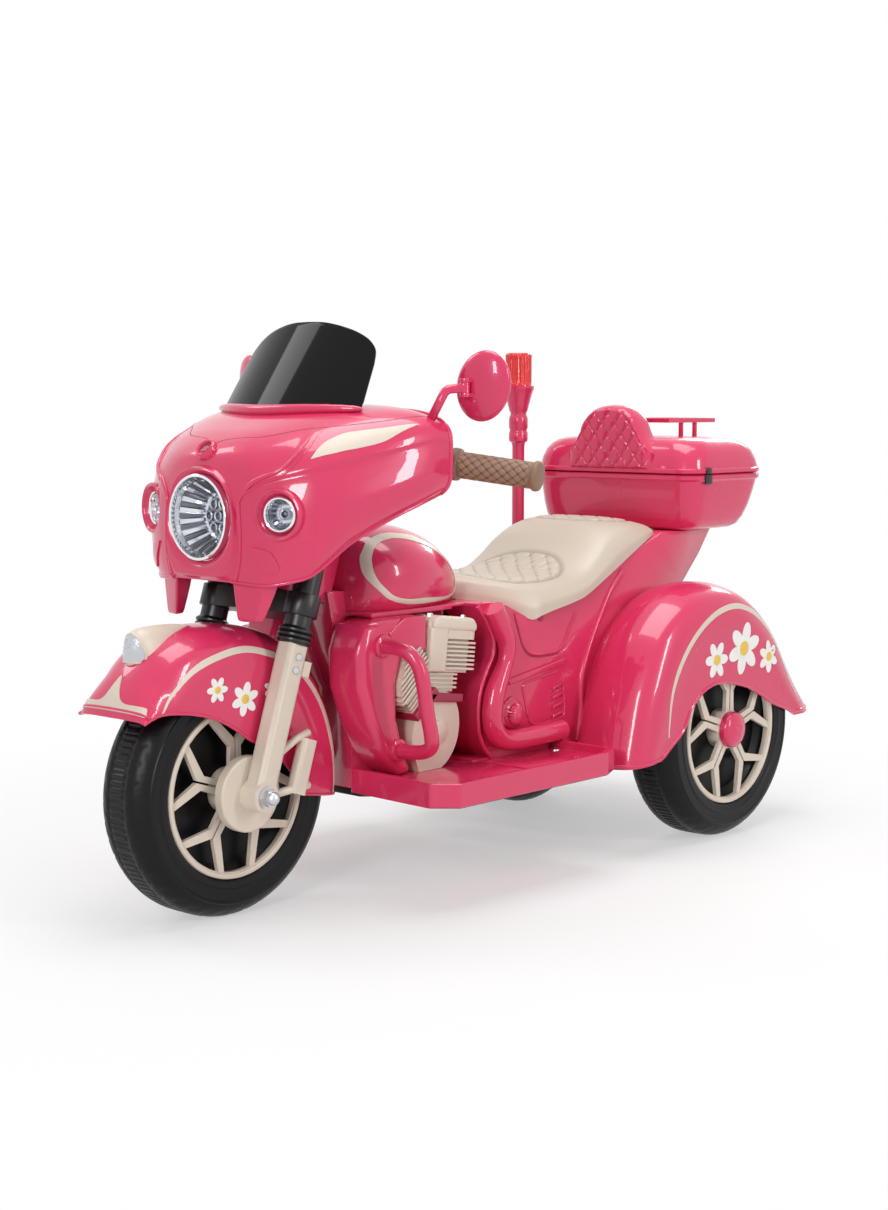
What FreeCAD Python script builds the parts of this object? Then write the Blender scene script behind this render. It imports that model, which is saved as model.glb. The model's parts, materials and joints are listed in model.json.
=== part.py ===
"""Battery ride-on trike for a small child, in millimetres.

Row frame: +Z up, the trike faces -Y, its left side is +X, and the floor is Z = 0.
The tables below are drawn with both axles at AXLE_Z and the wheelbase centred on Y = 0.
At the end the trike is set down on its tyres and its length is centred.
Every sub-part is one or more closed solids, written to parts/NODE.step.
"""

import FreeCAD, Part
import math
import os
from FreeCAD import Matrix, Placement, Rotation, Vector

# Wheels and stance
AXLE_Z = 150.0
TYRE_RADIUS = 150.0
TYRE_HALF_WIDTH = 39.0
HUB_PROUD = 1.5
TYRE_SECTION = 47.0
RIM_RADIUS = TYRE_RADIUS - TYRE_SECTION
RIM_FACE = 36.0
RIM_DEPTH = 9.0
WEB_HALF = 9.0
SPOKE_COUNT = 5
SPOKE_SET_BACK = 2.0
HUB_RADIUS = 27.0
HUB_WALL = 5.0
CAP_RADIUS = 25.0
AXLE_RADIUS = 6.0
NUT_ACROSS = 19.0
NUT_DEPTH = 8.0
FRONT_AXLE_Y = -378.0
REAR_AXLE_Y = 378.0
REAR_TRACK_HALF = 175.0
RUNNING_CLEARANCE = 0.08
FIT_CLEARANCE = 0.3
SEATED = 0.1

# Steering and fork, measured along the fork from the front axle
RAKE_DEG = 18.0
FORK_OFFSET = 32.0
FORK_HALF_SPAN = 74.0
LEG_WIDTH = 26.0
LEG_DEPTH = 31.0
LEG_LENGTH = 180.0
SPIGOT_DEPTH = 60.0
TUBE_RADIUS = 16.5
TUBE_WALL = 5.0
COLLAR_RADIUS = 20.5
LOWER_YOKE = 214.0
LOWER_YOKE_DEPTH = 26.0
UPPER_YOKE = 318.0
UPPER_YOKE_DEPTH = 16.0
STEM_RADIUS = 10.0
HEAD_TUBE_RADIUS = 17.0
HEAD_GAP = 6.0
DRUM_RADIUS = 45.0
DRUM_DEPTH = 15.0
RISER_X = 34.0
RISER_HEIGHT = 22.0

# A distance past every piece, for cuts that go right through
BEYOND = 1000.0

# Body
WALL = 4.0
TRAY_LOW = 120.0
TRAY_TOP = 128.0
TRAY_HALF_WIDTH = 88.0
CORE_HALF_WIDTH = 45.0
BODY_HALF_WIDTH = 108.0
BODY_FRONT = -36.0
DECK_Z = 349.0
DECK_DEPTH = 6.0
DECK_HALF_WIDTH = 86.0
NECK_TOP = 420.0
COWL_FACE = 106.0
COWL_ROUND = 9.0
EXHAUST_RADIUS = 15.0
CRASH_BAR_RADIUS = 9.0
BARREL_STRETCH = 15.0
CRASH_BAR_REACH = 163.0
BOARD_INNER = 60.0
BOARD_OUTER = 225.0
BOARD_FRONT = -222.0
BOARD_REAR = 118.0
BOARD_TOP = 158.0
BOARD_FLOOR = 148.0
BOARD_RIM = 9.0
FENDER_OUTER = 219.0
FENDER_WALL = 4.0
TRUNK_RIM_Z = 500.0
TRUNK_WALL = 3.5
TRUNK_HALF_WIDTH = 147.0
TRUNK_FRONT = 372.0
TRUNK_REAR = 556.0
TRUNK_LENGTH = TRUNK_REAR - TRUNK_FRONT
TRUNK_STEPS = 184.0
LID_HEIGHT = 48.0
LID_TOP = TRUNK_RIM_Z + LID_HEIGHT
HINGE_PIN_RADIUS = 2.5
KNUCKLE_RADIUS = 5.0
BEACON_X = -142.0
BEACON_Y = 337.0
BEACON_TOP = 624.0

# Front fender and fairing
FRONT_FENDER_HALF = 58.0
FAIRING_WALL = 4.0
HEADLAMP_RADIUS = 49.0
HEADLAMP_DEPTH = 50.0
HEADLAMP_Z = 470.0
HEADLAMP_FRONT = -399.0
SIDE_LAMP_RADIUS = 25.0
SIDE_LAMP_DEPTH = 40.0
SIDE_LAMP_X = 110.0
SIDE_LAMP_Z = 476.0
SIDE_LAMP_FRONT = -376.0
BAR_RADIUS = 11.0
GRIP_RADIUS = 16.5
GRIP_LENGTH = 108.0
MIRROR_STEM_RADIUS = 5.5
MIRROR_PIN_RADIUS = 2.5

# Controls
BUTTON_RADIUS = 9.0
SWITCH_LENGTH = 26.0
SWITCH_WIDTH = 14.0
PEDAL_LENGTH = 84.0
PEDAL_INNER = -128.0
PEDAL_OUTER = -188.0
PEDAL_PIN_RADIUS = 3.0
SOCKET_RADIUS = 9.0
SOCKET_BORE = 4.0

# Drive on the right rear wheel
GEAR_MODULE = 1.5
DRIVE_TEETH = 48
PINION_TEETH = 12
GEAR_WIDTH = 10.0
BACKLASH = 0.25
GEAR_HUB_RADIUS = 16.0
SHAFT_RADIUS = 3.0
CASE_WALL = 3.0
MOTOR_RADIUS = 18.0
MOTOR_LENGTH = 57.0

NODES = {}


def add(name, *solids):
    """Keeps the solids of one named sub-part."""
    kept = []
    for shape in solids:
        kept += shape.Solids
    NODES[name] = kept


def mirrored(shape):
    """The same shape on the other side of the trike."""
    return shape.mirror(Vector(0, 0, 0), Vector(1, 0, 0))


def block(x0, x1, y0, y1, z0, z1):
    return Part.makeBox(x1 - x0, y1 - y0, z1 - z0, Vector(x0, y0, z0))


def bar(radius, start, end):
    """A round bar from one point to another."""
    start, end = Vector(*start), Vector(*end)
    return Part.makeCylinder(radius, (end - start).Length, start, end - start)


def cross_bar(radius, x0, x1, y, z=AXLE_Z):
    """A round bar across the trike."""
    return bar(radius, (min(x0, x1), y, z), (max(x0, x1), y, z))


def wire_of(runs, place):
    """A closed wire. A run of two points is a line, a longer one a smooth curve. Runs share their ends."""
    edges = []
    for run in runs:
        points = [place(*p) for p in run]
        if len(points) == 2:
            edges.append(Part.LineSegment(*points).toShape())
        else:
            curve = Part.BSplineCurve()
            curve.interpolate(points)
            edges.append(curve.toShape())
    return Part.Wire(edges)


def corners(points):
    """The straight runs of a closed outline with these corners."""
    return [[a, b] for a, b in zip(points, points[1:] + points[:1])]


def side_wire(runs, x):
    return wire_of(runs, lambda y, z: Vector(x, y, z))


def side_prism(runs, x0, x1):
    """A side-view outline in Y and Z, extruded across the trike."""
    return Part.Face(side_wire(runs, x0)).extrude(Vector(x1 - x0, 0, 0))


def plan_prism(runs, z0, z1):
    """A top-view outline in X and Y, extruded upwards."""
    face = Part.Face(wire_of(runs, lambda x, y: Vector(x, y, z0)))
    return face.extrude(Vector(0, 0, z1 - z0))


def front_prism(runs, y0, y1):
    """A front-view outline in X and Z, extruded backwards."""
    face = Part.Face(wire_of(runs, lambda x, z: Vector(x, y0, z)))
    return face.extrude(Vector(0, y1 - y0, 0))


def loft(wires):
    """A closed solid through wires, straight from each to the next."""
    return Part.makeLoft(wires, True, True)


def largest(shape):
    return max(shape.Solids, key=lambda s: s.Volume)


def spun(profile, y, z):
    """A closed profile of (radius, x) corners turned about an axle at Y, Z."""
    points = [Vector(x, y, z + r) for r, x in profile]
    face = Part.Face(Part.makePolygon(points + points[:1]))
    return face.revolve(Vector(0, y, z), Vector(1, 0, 0), 360)


def rod(points, radius, bend):
    """A round rod along straight runs joined by tangent arcs."""
    points = [Vector(*p) for p in points]
    edges = []
    last = points[0]
    for before, corner, after in zip(points, points[1:], points[2:]):
        back = (before - corner).normalize()
        ahead = (after - corner).normalize()
        half = back.getAngle(ahead) / 2
        reach = bend / math.tan(half)
        first = corner + back * reach
        second = corner + ahead * reach
        middle = corner + (back + ahead).normalize() * (bend / math.sin(half) - bend)
        edges.append(Part.LineSegment(last, first).toShape())
        edges.append(Part.Arc(first, middle, second).toShape())
        last = second
    edges.append(Part.LineSegment(last, points[-1]).toShape())
    ring = Part.Wire(Part.makeCircle(radius, points[0], points[1] - points[0]))
    return Part.Wire(edges).makePipeShell([ring], True, False)


def hexagon(across, x0, x1, y, z):
    """A hexagonal nut blank along X."""
    r = across / math.sqrt(3)
    angles = [math.radians(60 * k) for k in range(6)]
    ring = [(y + r * math.cos(a), z + r * math.sin(a)) for a in angles]
    return side_prism(corners(ring), x0, x1)


def rounded_plan(z, half_width, y0, y1, radius):
    """A level rounded rectangle, as a wire of four lines and four arcs."""
    arcs = []
    places = ((half_width, y0, -45), (half_width, y1, 45), (-half_width, y1, 135), (-half_width, y0, 225))
    for x, y, angle in places:
        inward = radius if y == y0 else -radius
        centre = Vector(x - math.copysign(radius, x), y + inward, z)
        ends = []
        for turn in (-45, 0, 45):
            a = math.radians(angle + turn)
            ends.append(centre + Vector(radius * math.cos(a), radius * math.sin(a), 0))
        arcs.append(ends)
    edges = []
    for now, after in zip(arcs, arcs[1:] + arcs[:1]):
        edges.append(Part.Arc(*now).toShape())
        edges.append(Part.LineSegment(now[2], after[0]).toShape())
    return Part.Wire(edges)


# Hoods: shells with a rounded roof, open below. A station is Y, half width, lower edge, top and squareness.

HOOD_CURL_DEG = 35.0
HOOD_POINTS = 14


def hood_arc(half, edge, top, power, inset):
    """Points (x, z) over a rounded roof, from the right lower edge to the left one."""
    curl = math.radians(HOOD_CURL_DEG)
    rise = (top - edge) / (1 + math.sin(curl) ** (2 / power))
    middle = top - rise
    points = []
    for k in range(HOOD_POINTS + 1):
        a = math.pi + curl - (math.pi + 2 * curl) * k / HOOD_POINTS
        c, s = math.cos(a), math.sin(a)
        x = (half - inset) * math.copysign(abs(c) ** (2 / power), c)
        z = middle + (rise - inset) * math.copysign(abs(s) ** (2 / power), s)
        points.append((x, max(z, edge)))
    points[0] = (points[0][0], edge)
    points[-1] = (points[-1][0], edge)
    return points


def hood_solid(stations, inset=0.0):
    """The filled hood, closed flat below."""
    wires = []
    for y, half, edge, top, power in stations:
        arc = hood_arc(half, edge, top, power, inset)
        wires.append(wire_of([arc, [arc[-1], arc[0]]], lambda x, z, at=y: Vector(x, at, z)))
    return loft(wires)


def hood_shell(stations, wall):
    """The hood's wall alone, open below and at both ends."""
    wires = []
    for y, half, edge, top, power in stations:
        outer = hood_arc(half, edge, top, power, 0.0)
        inner = list(reversed(hood_arc(half, edge, top, power, wall)))
        runs = [outer, [outer[-1], inner[0]], inner, [inner[-1], outer[0]]]
        wires.append(wire_of(runs, lambda x, z, at=y: Vector(x, at, z)))
    return loft(wires)


def hood_end(station, wall):
    """A flat end plate behind the mouth at one station. A negative wall puts it ahead."""
    y, half, edge, top, power = station
    arc = hood_arc(half, edge, top, power, 0.0)
    return front_prism([arc, [arc[-1], arc[0]]], y, y + wall)


# Steering frame

RAKE = math.radians(RAKE_DEG)
STEER_FOOT = Vector(0, FRONT_AXLE_Y + FORK_OFFSET * math.cos(RAKE), AXLE_Z - FORK_OFFSET * math.sin(RAKE))
STEER_PLACE = Placement(STEER_FOOT, Rotation(Vector(1, 0, 0), -RAKE_DEG))
LOWER_YOKE_TOP = LOWER_YOKE + LOWER_YOKE_DEPTH
UPPER_YOKE_TOP = UPPER_YOKE + UPPER_YOKE_DEPTH
TUBE_TOP = UPPER_YOKE_TOP + 8.0


def along_steering(shape):
    """Moves a shape from an upright steering axis, with the axle at Y = -FORK_OFFSET, to the raked one."""
    placed = shape.copy()
    placed.Placement = STEER_PLACE.multiply(placed.Placement)
    return placed


def steer_point(x, back, up):
    """A point given across, behind and along the steering axis, in the drawing's frame."""
    return STEER_PLACE.multVec(Vector(x, back, up))


# Wheels

WHEEL_BORE = AXLE_RADIUS + RUNNING_CLEARANCE
TYRE_HUB_RADIUS = HUB_RADIUS - HUB_WALL
NUT_SEAT = RIM_FACE - 14.0


def tyre(x, y):
    """A blow-moulded tyre and web in one piece, dished on both faces."""
    w = TYRE_HALF_WIDTH
    r = TYRE_RADIUS
    lip = RIM_RADIUS + 1.5
    half = [
        (WHEEL_BORE, w + HUB_PROUD), (TYRE_HUB_RADIUS, w + HUB_PROUD), (TYRE_HUB_RADIUS, WEB_HALF),
        (RIM_RADIUS - 15, WEB_HALF), (lip, RIM_FACE - RIM_DEPTH), (lip, w - 3), (lip + 9, w - 1),
        (r - 22, w), (r - 10, w - 5), (r - 3, w - 13), (r, w - 20),
    ]
    profile = half + [(radius, -across) for radius, across in reversed(half)]
    shape = spun(profile, y, AXLE_Z)
    shape.translate(Vector(x, 0, 0))
    return shape


def rear_tyre(x, sign):
    """The same tyre, with its outer hub cut back to leave room for the axle nut under the cap."""
    room = cross_bar(HUB_RADIUS, x + sign * NUT_SEAT, x + sign * (TYRE_HALF_WIDTH + 5), REAR_AXLE_Y)
    return tyre(x, REAR_AXLE_Y).cut(room)


def spoke_outline(mid, sign):
    """One half of a forked spoke, in the wheel's plane."""
    stem_out, fork_out = 0.56 * RIM_RADIUS, RIM_RADIUS - 3
    spread = math.radians(23)

    def polar(radius, angle, offset):
        c, s = math.cos(angle), math.sin(angle)
        return (radius * c - offset * s, radius * s + offset * c)

    return [
        polar(TYRE_HUB_RADIUS + 1, mid, sign * 1.2), polar(TYRE_HUB_RADIUS + 1, mid, sign * 9.5),
        polar(stem_out - 4, mid, sign * 8.5), polar(fork_out, mid + sign * spread, sign * 3.5),
        polar(fork_out, mid + sign * spread, -sign * 5.0), polar(stem_out + 5, mid, sign * 1.2),
    ]


def spoke_disc():
    """A wheel face of forked spokes, facing +X, on an axle at the origin."""
    back = RIM_FACE - RIM_DEPTH
    ring_in = RIM_RADIUS - 8
    ring = spun([(ring_in, back), (RIM_RADIUS, back), (RIM_RADIUS, RIM_FACE), (ring_in, RIM_FACE - 1)], 0, 0)
    bore = TYRE_HUB_RADIUS + FIT_CLEARANCE
    low, high = WEB_HALF + FIT_CLEARANCE, RIM_FACE - 3
    hub = spun([(bore, low), (HUB_RADIUS, low), (HUB_RADIUS, high), (bore, high)], 0, 0)
    arms = []
    for k in range(SPOKE_COUNT):
        mid = math.radians(90 + 360 * k / SPOKE_COUNT)
        for sign in (-1, 1):
            arms.append(side_prism(corners(spoke_outline(mid, sign)), back + 1, RIM_FACE - SPOKE_SET_BACK))
    return ring.multiFuse([hub] + arms).removeSplitter()


def facing(shape, sign, x, y):
    """Sets a wheel-face shape, made facing +X at the origin, on a wheel at X, Y."""
    placed = shape if sign > 0 else mirrored(shape)
    placed = placed.copy()
    placed.translate(Vector(x, y, AXLE_Z))
    return placed


def hub_cap():
    """A domed cap over the axle nut, seated on the spoke disc's hub."""
    r = CAP_RADIUS
    out = RIM_FACE - SPOKE_SET_BACK + FIT_CLEARANCE
    dome = [(0.01, out + 15), (r * 0.5, out + 13.5), (r * 0.85, out + 8), (r, out)]
    hollow = [(r - 2.5, out), (r * 0.85 - 3, out + 6), (r * 0.5, out + 10.8), (0.01, out + 12)]
    return spun(dome + hollow, 0, 0)


def build_wheels():
    add("front_tyre", tyre(0, FRONT_AXLE_Y))
    disc = spoke_disc()
    cap = hub_cap()
    add("front_rims", *[facing(disc, sign, 0, FRONT_AXLE_Y) for sign in (1, -1)])
    for side, sign in (("left", 1), ("right", -1)):
        x = sign * REAR_TRACK_HALF
        add(f"rear_{side}_tyre", rear_tyre(x, sign))
        add(f"rear_{side}_rim", facing(disc, sign, x, REAR_AXLE_Y))
        add(f"rear_{side}_hubcap", facing(cap, sign, x, REAR_AXLE_Y))


def washer_and_nut(seat_x, end_x, y):
    """A washer and a hexagonal nut on an axle end, on the left side."""
    washer_depth = 2.0
    hole = cross_bar(AXLE_RADIUS + SEATED / 2, seat_x - 1, end_x + SEATED, y)
    washer = cross_bar(NUT_ACROSS * 0.66, seat_x + SEATED, seat_x + washer_depth, y).cut(hole)
    nut = hexagon(NUT_ACROSS, seat_x + washer_depth, seat_x + washer_depth + NUT_DEPTH, y, AXLE_Z)
    return washer, nut, hole


def build_axles():
    leg_outer = FORK_HALF_SPAN + LEG_WIDTH / 2
    front_end = leg_outer + NUT_DEPTH + 5
    add("front_axle", cross_bar(AXLE_RADIUS, -front_end, front_end, FRONT_AXLE_Y))
    washer, nut, hole = washer_and_nut(leg_outer, front_end, FRONT_AXLE_Y)
    dome = Part.makeSphere(NUT_ACROSS * 0.44, Vector(leg_outer + 2 + NUT_DEPTH, FRONT_AXLE_Y, AXLE_Z))
    acorn = nut.fuse(dome).cut(hole).removeSplitter()
    add("front_axle_nuts", washer, acorn, mirrored(washer), mirrored(acorn))

    seat_x = REAR_TRACK_HALF + NUT_SEAT + SEATED
    rear_end = seat_x + 2 + NUT_DEPTH + 1
    axle = cross_bar(AXLE_RADIUS, -rear_end, rear_end, REAR_AXLE_Y)
    wheel_inner = REAR_TRACK_HALF - TYRE_HALF_WIDTH - HUB_PROUD
    sleeve_from, sleeve_to = TRAY_HALF_WIDTH + FIT_CLEARANCE, wheel_inner - FIT_CLEARANCE
    sleeve = cross_bar(AXLE_RADIUS + 4, sleeve_from, sleeve_to, REAR_AXLE_Y)
    add("rear_axle", axle.fuse(sleeve).removeSplitter())
    washer, nut, hole = washer_and_nut(seat_x, rear_end + 1, REAR_AXLE_Y)
    nut = nut.cut(hole)
    add("rear_axle_nuts", washer, nut, mirrored(washer), mirrored(nut))


# Fork, stem and handlebar

def fork_side():
    """The leg, the tube and the brake caliper of the left side, about an upright steering axis."""
    leg_in = FORK_HALF_SPAN - LEG_WIDTH / 2
    leg_out = FORK_HALF_SPAN + LEG_WIDTH / 2
    x, mid, half = FORK_HALF_SPAN, -FORK_OFFSET, LEG_DEPTH / 2
    leg = block(leg_in, leg_out, mid - half, mid + half, 0, LEG_LENGTH)
    upright = [e for e in leg.Edges if e.BoundBox.ZLength > LEG_LENGTH / 2]
    leg = leg.makeFillet(LEG_WIDTH * 0.27, upright)
    foot = cross_bar(half + 3, leg_in, leg_out, mid, 0)
    drum = cross_bar(DRUM_RADIUS, leg_in - DRUM_DEPTH, leg_in, mid, 0)
    drum = drum.makeFillet(DRUM_DEPTH * 0.2, [e for e in drum.Edges if e.Closed])
    pinch_low = LEG_LENGTH - 34
    pinch = block(leg_out - 9, leg_out - 1, mid + half - 2, mid + half + 9, pinch_low, pinch_low + 18)
    spigot_radius = TUBE_RADIUS - TUBE_WALL
    socket_low = LEG_LENGTH - SPIGOT_DEPTH
    socket = bar(spigot_radius + SEATED / 2, (x, mid, socket_low), (x, mid, LEG_LENGTH + 1))
    axle_hole = cross_bar(AXLE_RADIUS + SEATED / 2, 0, leg_out + 1, mid, 0)
    leg = leg.multiFuse([foot, drum, pinch]).cut(socket).cut(axle_hole).removeSplitter()

    tube = bar(TUBE_RADIUS, (x, mid, LEG_LENGTH + SEATED), (x, mid, TUBE_TOP))
    spigot = bar(spigot_radius, (x, mid, socket_low + 1), (x, mid, LEG_LENGTH + 2))
    tube = tube.fuse(spigot).removeSplitter()

    pad_back = mid + half + 30
    pad = block(leg_in + 5, leg_out - 5, pad_back, pad_back + 22, 12, 78)
    pad = pad.makeFillet(5.0, [e for e in pad.Edges if e.BoundBox.ZLength > 30])
    upper_link = rod([(x, mid + half, 52), (x, mid + half + 22, 74), (x, pad_back + 10, 86)], 4.5, 12)
    lower_link = bar(5, (x, mid + half + 3, 4), (x, pad_back + 28, 26))
    caliper = largest(pad.multiFuse([upper_link, lower_link]).cut(leg))
    return leg, tube, caliper


def yoke(low, high):
    """A clamp plate that joins both fork tubes to the stem."""
    x, mid, back = FORK_HALF_SPAN, -FORK_OFFSET, STEM_RADIUS + 8
    half = COLLAR_RADIUS - 4
    plate = block(-x, x, mid - half, mid + half, low, high)
    nose = plan_prism(corners([(-x, mid), (x, mid), (back + 2, back), (-back - 2, back)]), low, high)
    ends = [bar(COLLAR_RADIUS, (s * x, mid, low), (s * x, mid, high)) for s in (1, -1)]
    return plate.multiFuse([nose] + ends)


def build_fork():
    names = ("fork_legs", "fork_tubes", "brake_calipers")
    for name, shape in zip(names, fork_side()):
        add(name, along_steering(shape), along_steering(mirrored(shape)))
    stem = bar(STEM_RADIUS, (0, 0, LOWER_YOKE), (0, 0, UPPER_YOKE_TOP))
    whole = yoke(LOWER_YOKE, LOWER_YOKE_TOP).multiFuse([yoke(UPPER_YOKE, UPPER_YOKE_TOP), stem])
    for x in (FORK_HALF_SPAN, -FORK_HALF_SPAN):
        low, high = (x, -FORK_OFFSET, 0), (x, -FORK_OFFSET, TUBE_TOP + 20)
        whole = whole.cut(bar(TUBE_RADIUS + SEATED / 2, low, high))
    top = UPPER_YOKE_TOP
    risers = [block(x - 9, x + 9, -14, 10, top - 1, top + RISER_HEIGHT) for x in (RISER_X, -RISER_X)]
    whole = along_steering(whole.multiFuse(risers).removeSplitter())
    add("steering_stem", whole.cut(handlebar_rod(BAR_RADIUS + SEATED / 2)))
    low, high = LOWER_YOKE_TOP + FIT_CLEARANCE, UPPER_YOKE - FIT_CLEARANCE
    bore = bar(STEM_RADIUS + RUNNING_CLEARANCE, (0, 0, low - 1), (0, 0, high + 1))
    add("head_tube", along_steering(bar(HEAD_TUBE_RADIUS, (0, 0, low), (0, 0, high)).cut(bore)))


def bar_points():
    """The handlebar's bend points, from its left end to its right end."""
    clamp = steer_point(0, -2, UPPER_YOKE_TOP + RISER_HEIGHT - 4)
    half = [(268, -112, 516), (156, -154, 531), (112, clamp.y + 4, 528), (62, clamp.y, clamp.z)]
    return half + [(-x, y, z) for x, y, z in reversed(half)]


def handlebar_rod(radius):
    return rod(bar_points(), radius, 24)


def build_handlebar():
    add("handlebar", handlebar_rod(BAR_RADIUS))
    end, inner = [Vector(*p) for p in bar_points()[:2]]
    inward = (inner - end).normalize()
    out_end = end - inward * 4
    start = end + inward * GRIP_LENGTH
    grip = bar(GRIP_RADIUS, out_end, start)
    flange = bar(GRIP_RADIUS + 3, start - inward * 7, start)
    knob = bar(GRIP_RADIUS + 1.5, out_end, out_end + inward * 6)
    bore = bar(BAR_RADIUS + SEATED / 2, end, start + inward * 5)
    grip = grip.multiFuse([flange, knob]).cut(bore).removeSplitter()
    add("grips", grip, mirrored(grip))


# Fenders, drawn in radial planes about their axle

def polar_place(axle_y, angle_deg):
    """A placing function for (x, radius) points in a radial plane: 0 is ahead of the axle, 90 above it."""
    a = math.radians(angle_deg)

    def place(x, radius):
        return Vector(x, axle_y - radius * math.cos(a), AXLE_Z + radius * math.sin(a))

    return place


# Each station: angle, height of the crown above the tyre, depth of the skirt below the tyre's tread
FRONT_FENDER_STATIONS = [
    (33, 38, -22), (39, 46, -10), (47, 52, 9), (58, 56, 36), (74, 52, 68), (92, 45, 88), (112, 40, 92),
    (135, 30, 92), (158, 20, 86), (176, 15, 76), (189, 14, 66),
]
REAR_FENDER_STATIONS = [
    (-7, 86, -22), (5, 74, 24), (22, 69, 38), (42, 71, 55), (62, 68, 72), (80, 58, 83), (96, 48, 88),
    (112, 36, 88), (130, 26, 84), (148, 22, 74), (165, 34, 52), (179, 62, 0),
]


def front_fender_section(angle, rise, skirt):
    half, wall = FRONT_FENDER_HALF, FENDER_WALL
    crown, low = TYRE_RADIUS + rise, TYRE_RADIUS - skirt
    drop = min(46.0, 0.75 * (crown - low))
    shoulder = crown - drop

    def roof(width, top):
        side = [(-width, shoulder), (-0.86 * width, top - 0.42 * drop), (-0.5 * width, top - 0.09 * drop)]
        return side + [(0, top)] + [(-x, r) for x, r in reversed(side)]

    inner = half - wall
    runs = [
        [(-half, low), (-half, shoulder)], roof(half, crown), [(half, shoulder), (half, low)],
        [(half, low), (inner, low)], [(inner, low), (inner, shoulder)],
        list(reversed(roof(inner, crown - wall))),
        [(-inner, shoulder), (-inner, low)], [(-inner, low), (-half, low)],
    ]
    return wire_of(runs, polar_place(FRONT_AXLE_Y, angle))


def build_front_fender():
    shell = loft([front_fender_section(*station) for station in FRONT_FENDER_STATIONS])
    # Two tabs carry the fender between the fork legs.
    tab_x = FORK_HALF_SPAN - LEG_WIDTH / 2 - SEATED
    tab_low = LEG_LENGTH * 0.54
    tab = block(FRONT_FENDER_HALF - 1, tab_x, -FORK_OFFSET - 9, -FORK_OFFSET + 9, tab_low, tab_low + 32)
    tab = along_steering(tab)
    shell = shell.multiFuse([tab, mirrored(tab)])
    add("front_fender", shell)
    add("fender_lamp", largest(fender_lamp_blank().cut(shell)))


# Each station: angle, half width, lower and upper height above the tyre
FENDER_LAMP_STATIONS = [
    (51, 18, 40, 64), (55, 23, 40, 84), (61, 22, 40, 84), (70, 15, 40, 69), (81, 5, 40, 53),
]


def fender_lamp_blank():
    """A teardrop lamp housing that runs down into the fender's nose."""
    sections = []
    for angle, half, low, high in FENDER_LAMP_STATIONS:
        low, high = TYRE_RADIUS + low, TYRE_RADIUS + high
        waist = (low + high) / 2 + 4
        over = [(-half, low), (-0.85 * half, waist), (0, high), (0.85 * half, waist), (half, low)]
        sections.append(wire_of([over, [(half, low), (-half, low)]], polar_place(FRONT_AXLE_Y, angle)))
    return loft(sections)


def rear_fender_section(angle, rise, skirt):
    inner_x, outer_x, t = BODY_HALF_WIDTH + FIT_CLEARANCE, FENDER_OUTER, FENDER_WALL
    crown, low = TYRE_RADIUS + rise, TYRE_RADIUS - skirt
    r = min(38.0, 0.6 * (crown - low))
    lean = 14.0

    def roof(right, top, corner):
        return [(inner_x, top - lean), (inner_x + 22, top - 0.3 * lean), (inner_x + 50, top),
                (right - corner, top - 0.06 * corner), (right - 0.3 * corner, top - 0.36 * corner),
                (right, crown - r)]

    outer = roof(outer_x, crown, r)
    inner = roof(outer_x - t, crown - t, r - t)
    runs = [
        outer, [(outer_x, crown - r), (outer_x, low)], [(outer_x, low), (outer_x - t, low)],
        [(outer_x - t, low), (outer_x - t, crown - r)], list(reversed(inner)),
        [(inner_x, crown - t - lean), (inner_x, crown - lean)],
    ]
    return wire_of(runs, polar_place(REAR_AXLE_Y, angle))


def build_rear_fenders():
    left = loft([rear_fender_section(*station) for station in REAR_FENDER_STATIONS])
    right = mirrored(left)
    add("rear_fender_left", left)
    add("rear_fender_right", right)
    build_beacon(right)


def build_beacon(fender):
    """A pole on the right fender with a flared socket and a red lens."""
    x, y, top = BEACON_X, BEACON_Y, BEACON_TOP
    foot_low = AXLE_Z + TYRE_RADIUS + 30
    pole = bar(9, (x, y, foot_low), (x, y, top - 40))
    collar = bar(14, (x, y, top - 79), (x, y, top - 43))
    flare = Part.makeCone(13, 23, 38, Vector(x, y, top - 40), Vector(0, 0, 1))
    rim = bar(23, (x, y, top - 2), (x, y, top))
    foot = bar(17, (x, y, foot_low), (x, y, foot_low + 32))
    pole = pole.multiFuse([collar, flare, rim, foot]).removeSplitter().cut(fender)
    add("beacon_pole", max(pole.Solids, key=lambda s: s.BoundBox.ZMax))
    lens = bar(19.5, (x, y, top + SEATED), (x, y, top + 48))
    crown = [e for e in lens.Edges if e.Closed and e.BoundBox.ZMin > top + 40]
    add("beacon_lens", lens.makeFillet(2.5, crown))


# Fairing: Y, half width, lower edge, top, squareness

FAIRING_STATIONS = [
    (-396, 60, 397, 530, 2.4), (-390, 84, 395, 543, 2.5), (-380, 108, 394, 553, 2.6),
    (-364, 131, 398, 563, 2.7), (-345, 150, 406, 572, 2.8), (-300, 167, 441, 588, 3.1),
    (-250, 181, 467, 598, 3.5),
    (-205, 189, 485, 600, 4.0), (-176, 190, 495, 594, 4.2),
]
PRONG_TOP = [(50, -393), (88, -380), (94, -362), (54, -366)]
PRONG_TIP = [(54, -391), (80, -383), (81, -373), (56, -377)]
PRONG_TIP_Z = 352.0


def prong():
    """One of the two points that hang from the nose's lower corners."""
    top = wire_of(corners(PRONG_TOP), lambda x, y: Vector(x, y, FAIRING_STATIONS[0][2] + 22))
    tip = wire_of(corners(PRONG_TIP), lambda x, y: Vector(x, y, PRONG_TIP_Z))
    return loft([top, tip])


def lamp_bowl(x, z, front, depth, radius):
    """A reflector bowl facing forwards, closed behind."""
    outer = bar(radius, (x, front, z), (x, front + depth, z))
    hollow = Part.makeCone(radius - 3, radius * 0.45, depth - 4, Vector(x, front - 0.01, z), Vector(0, 1, 0))
    return outer.cut(hollow)


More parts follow.
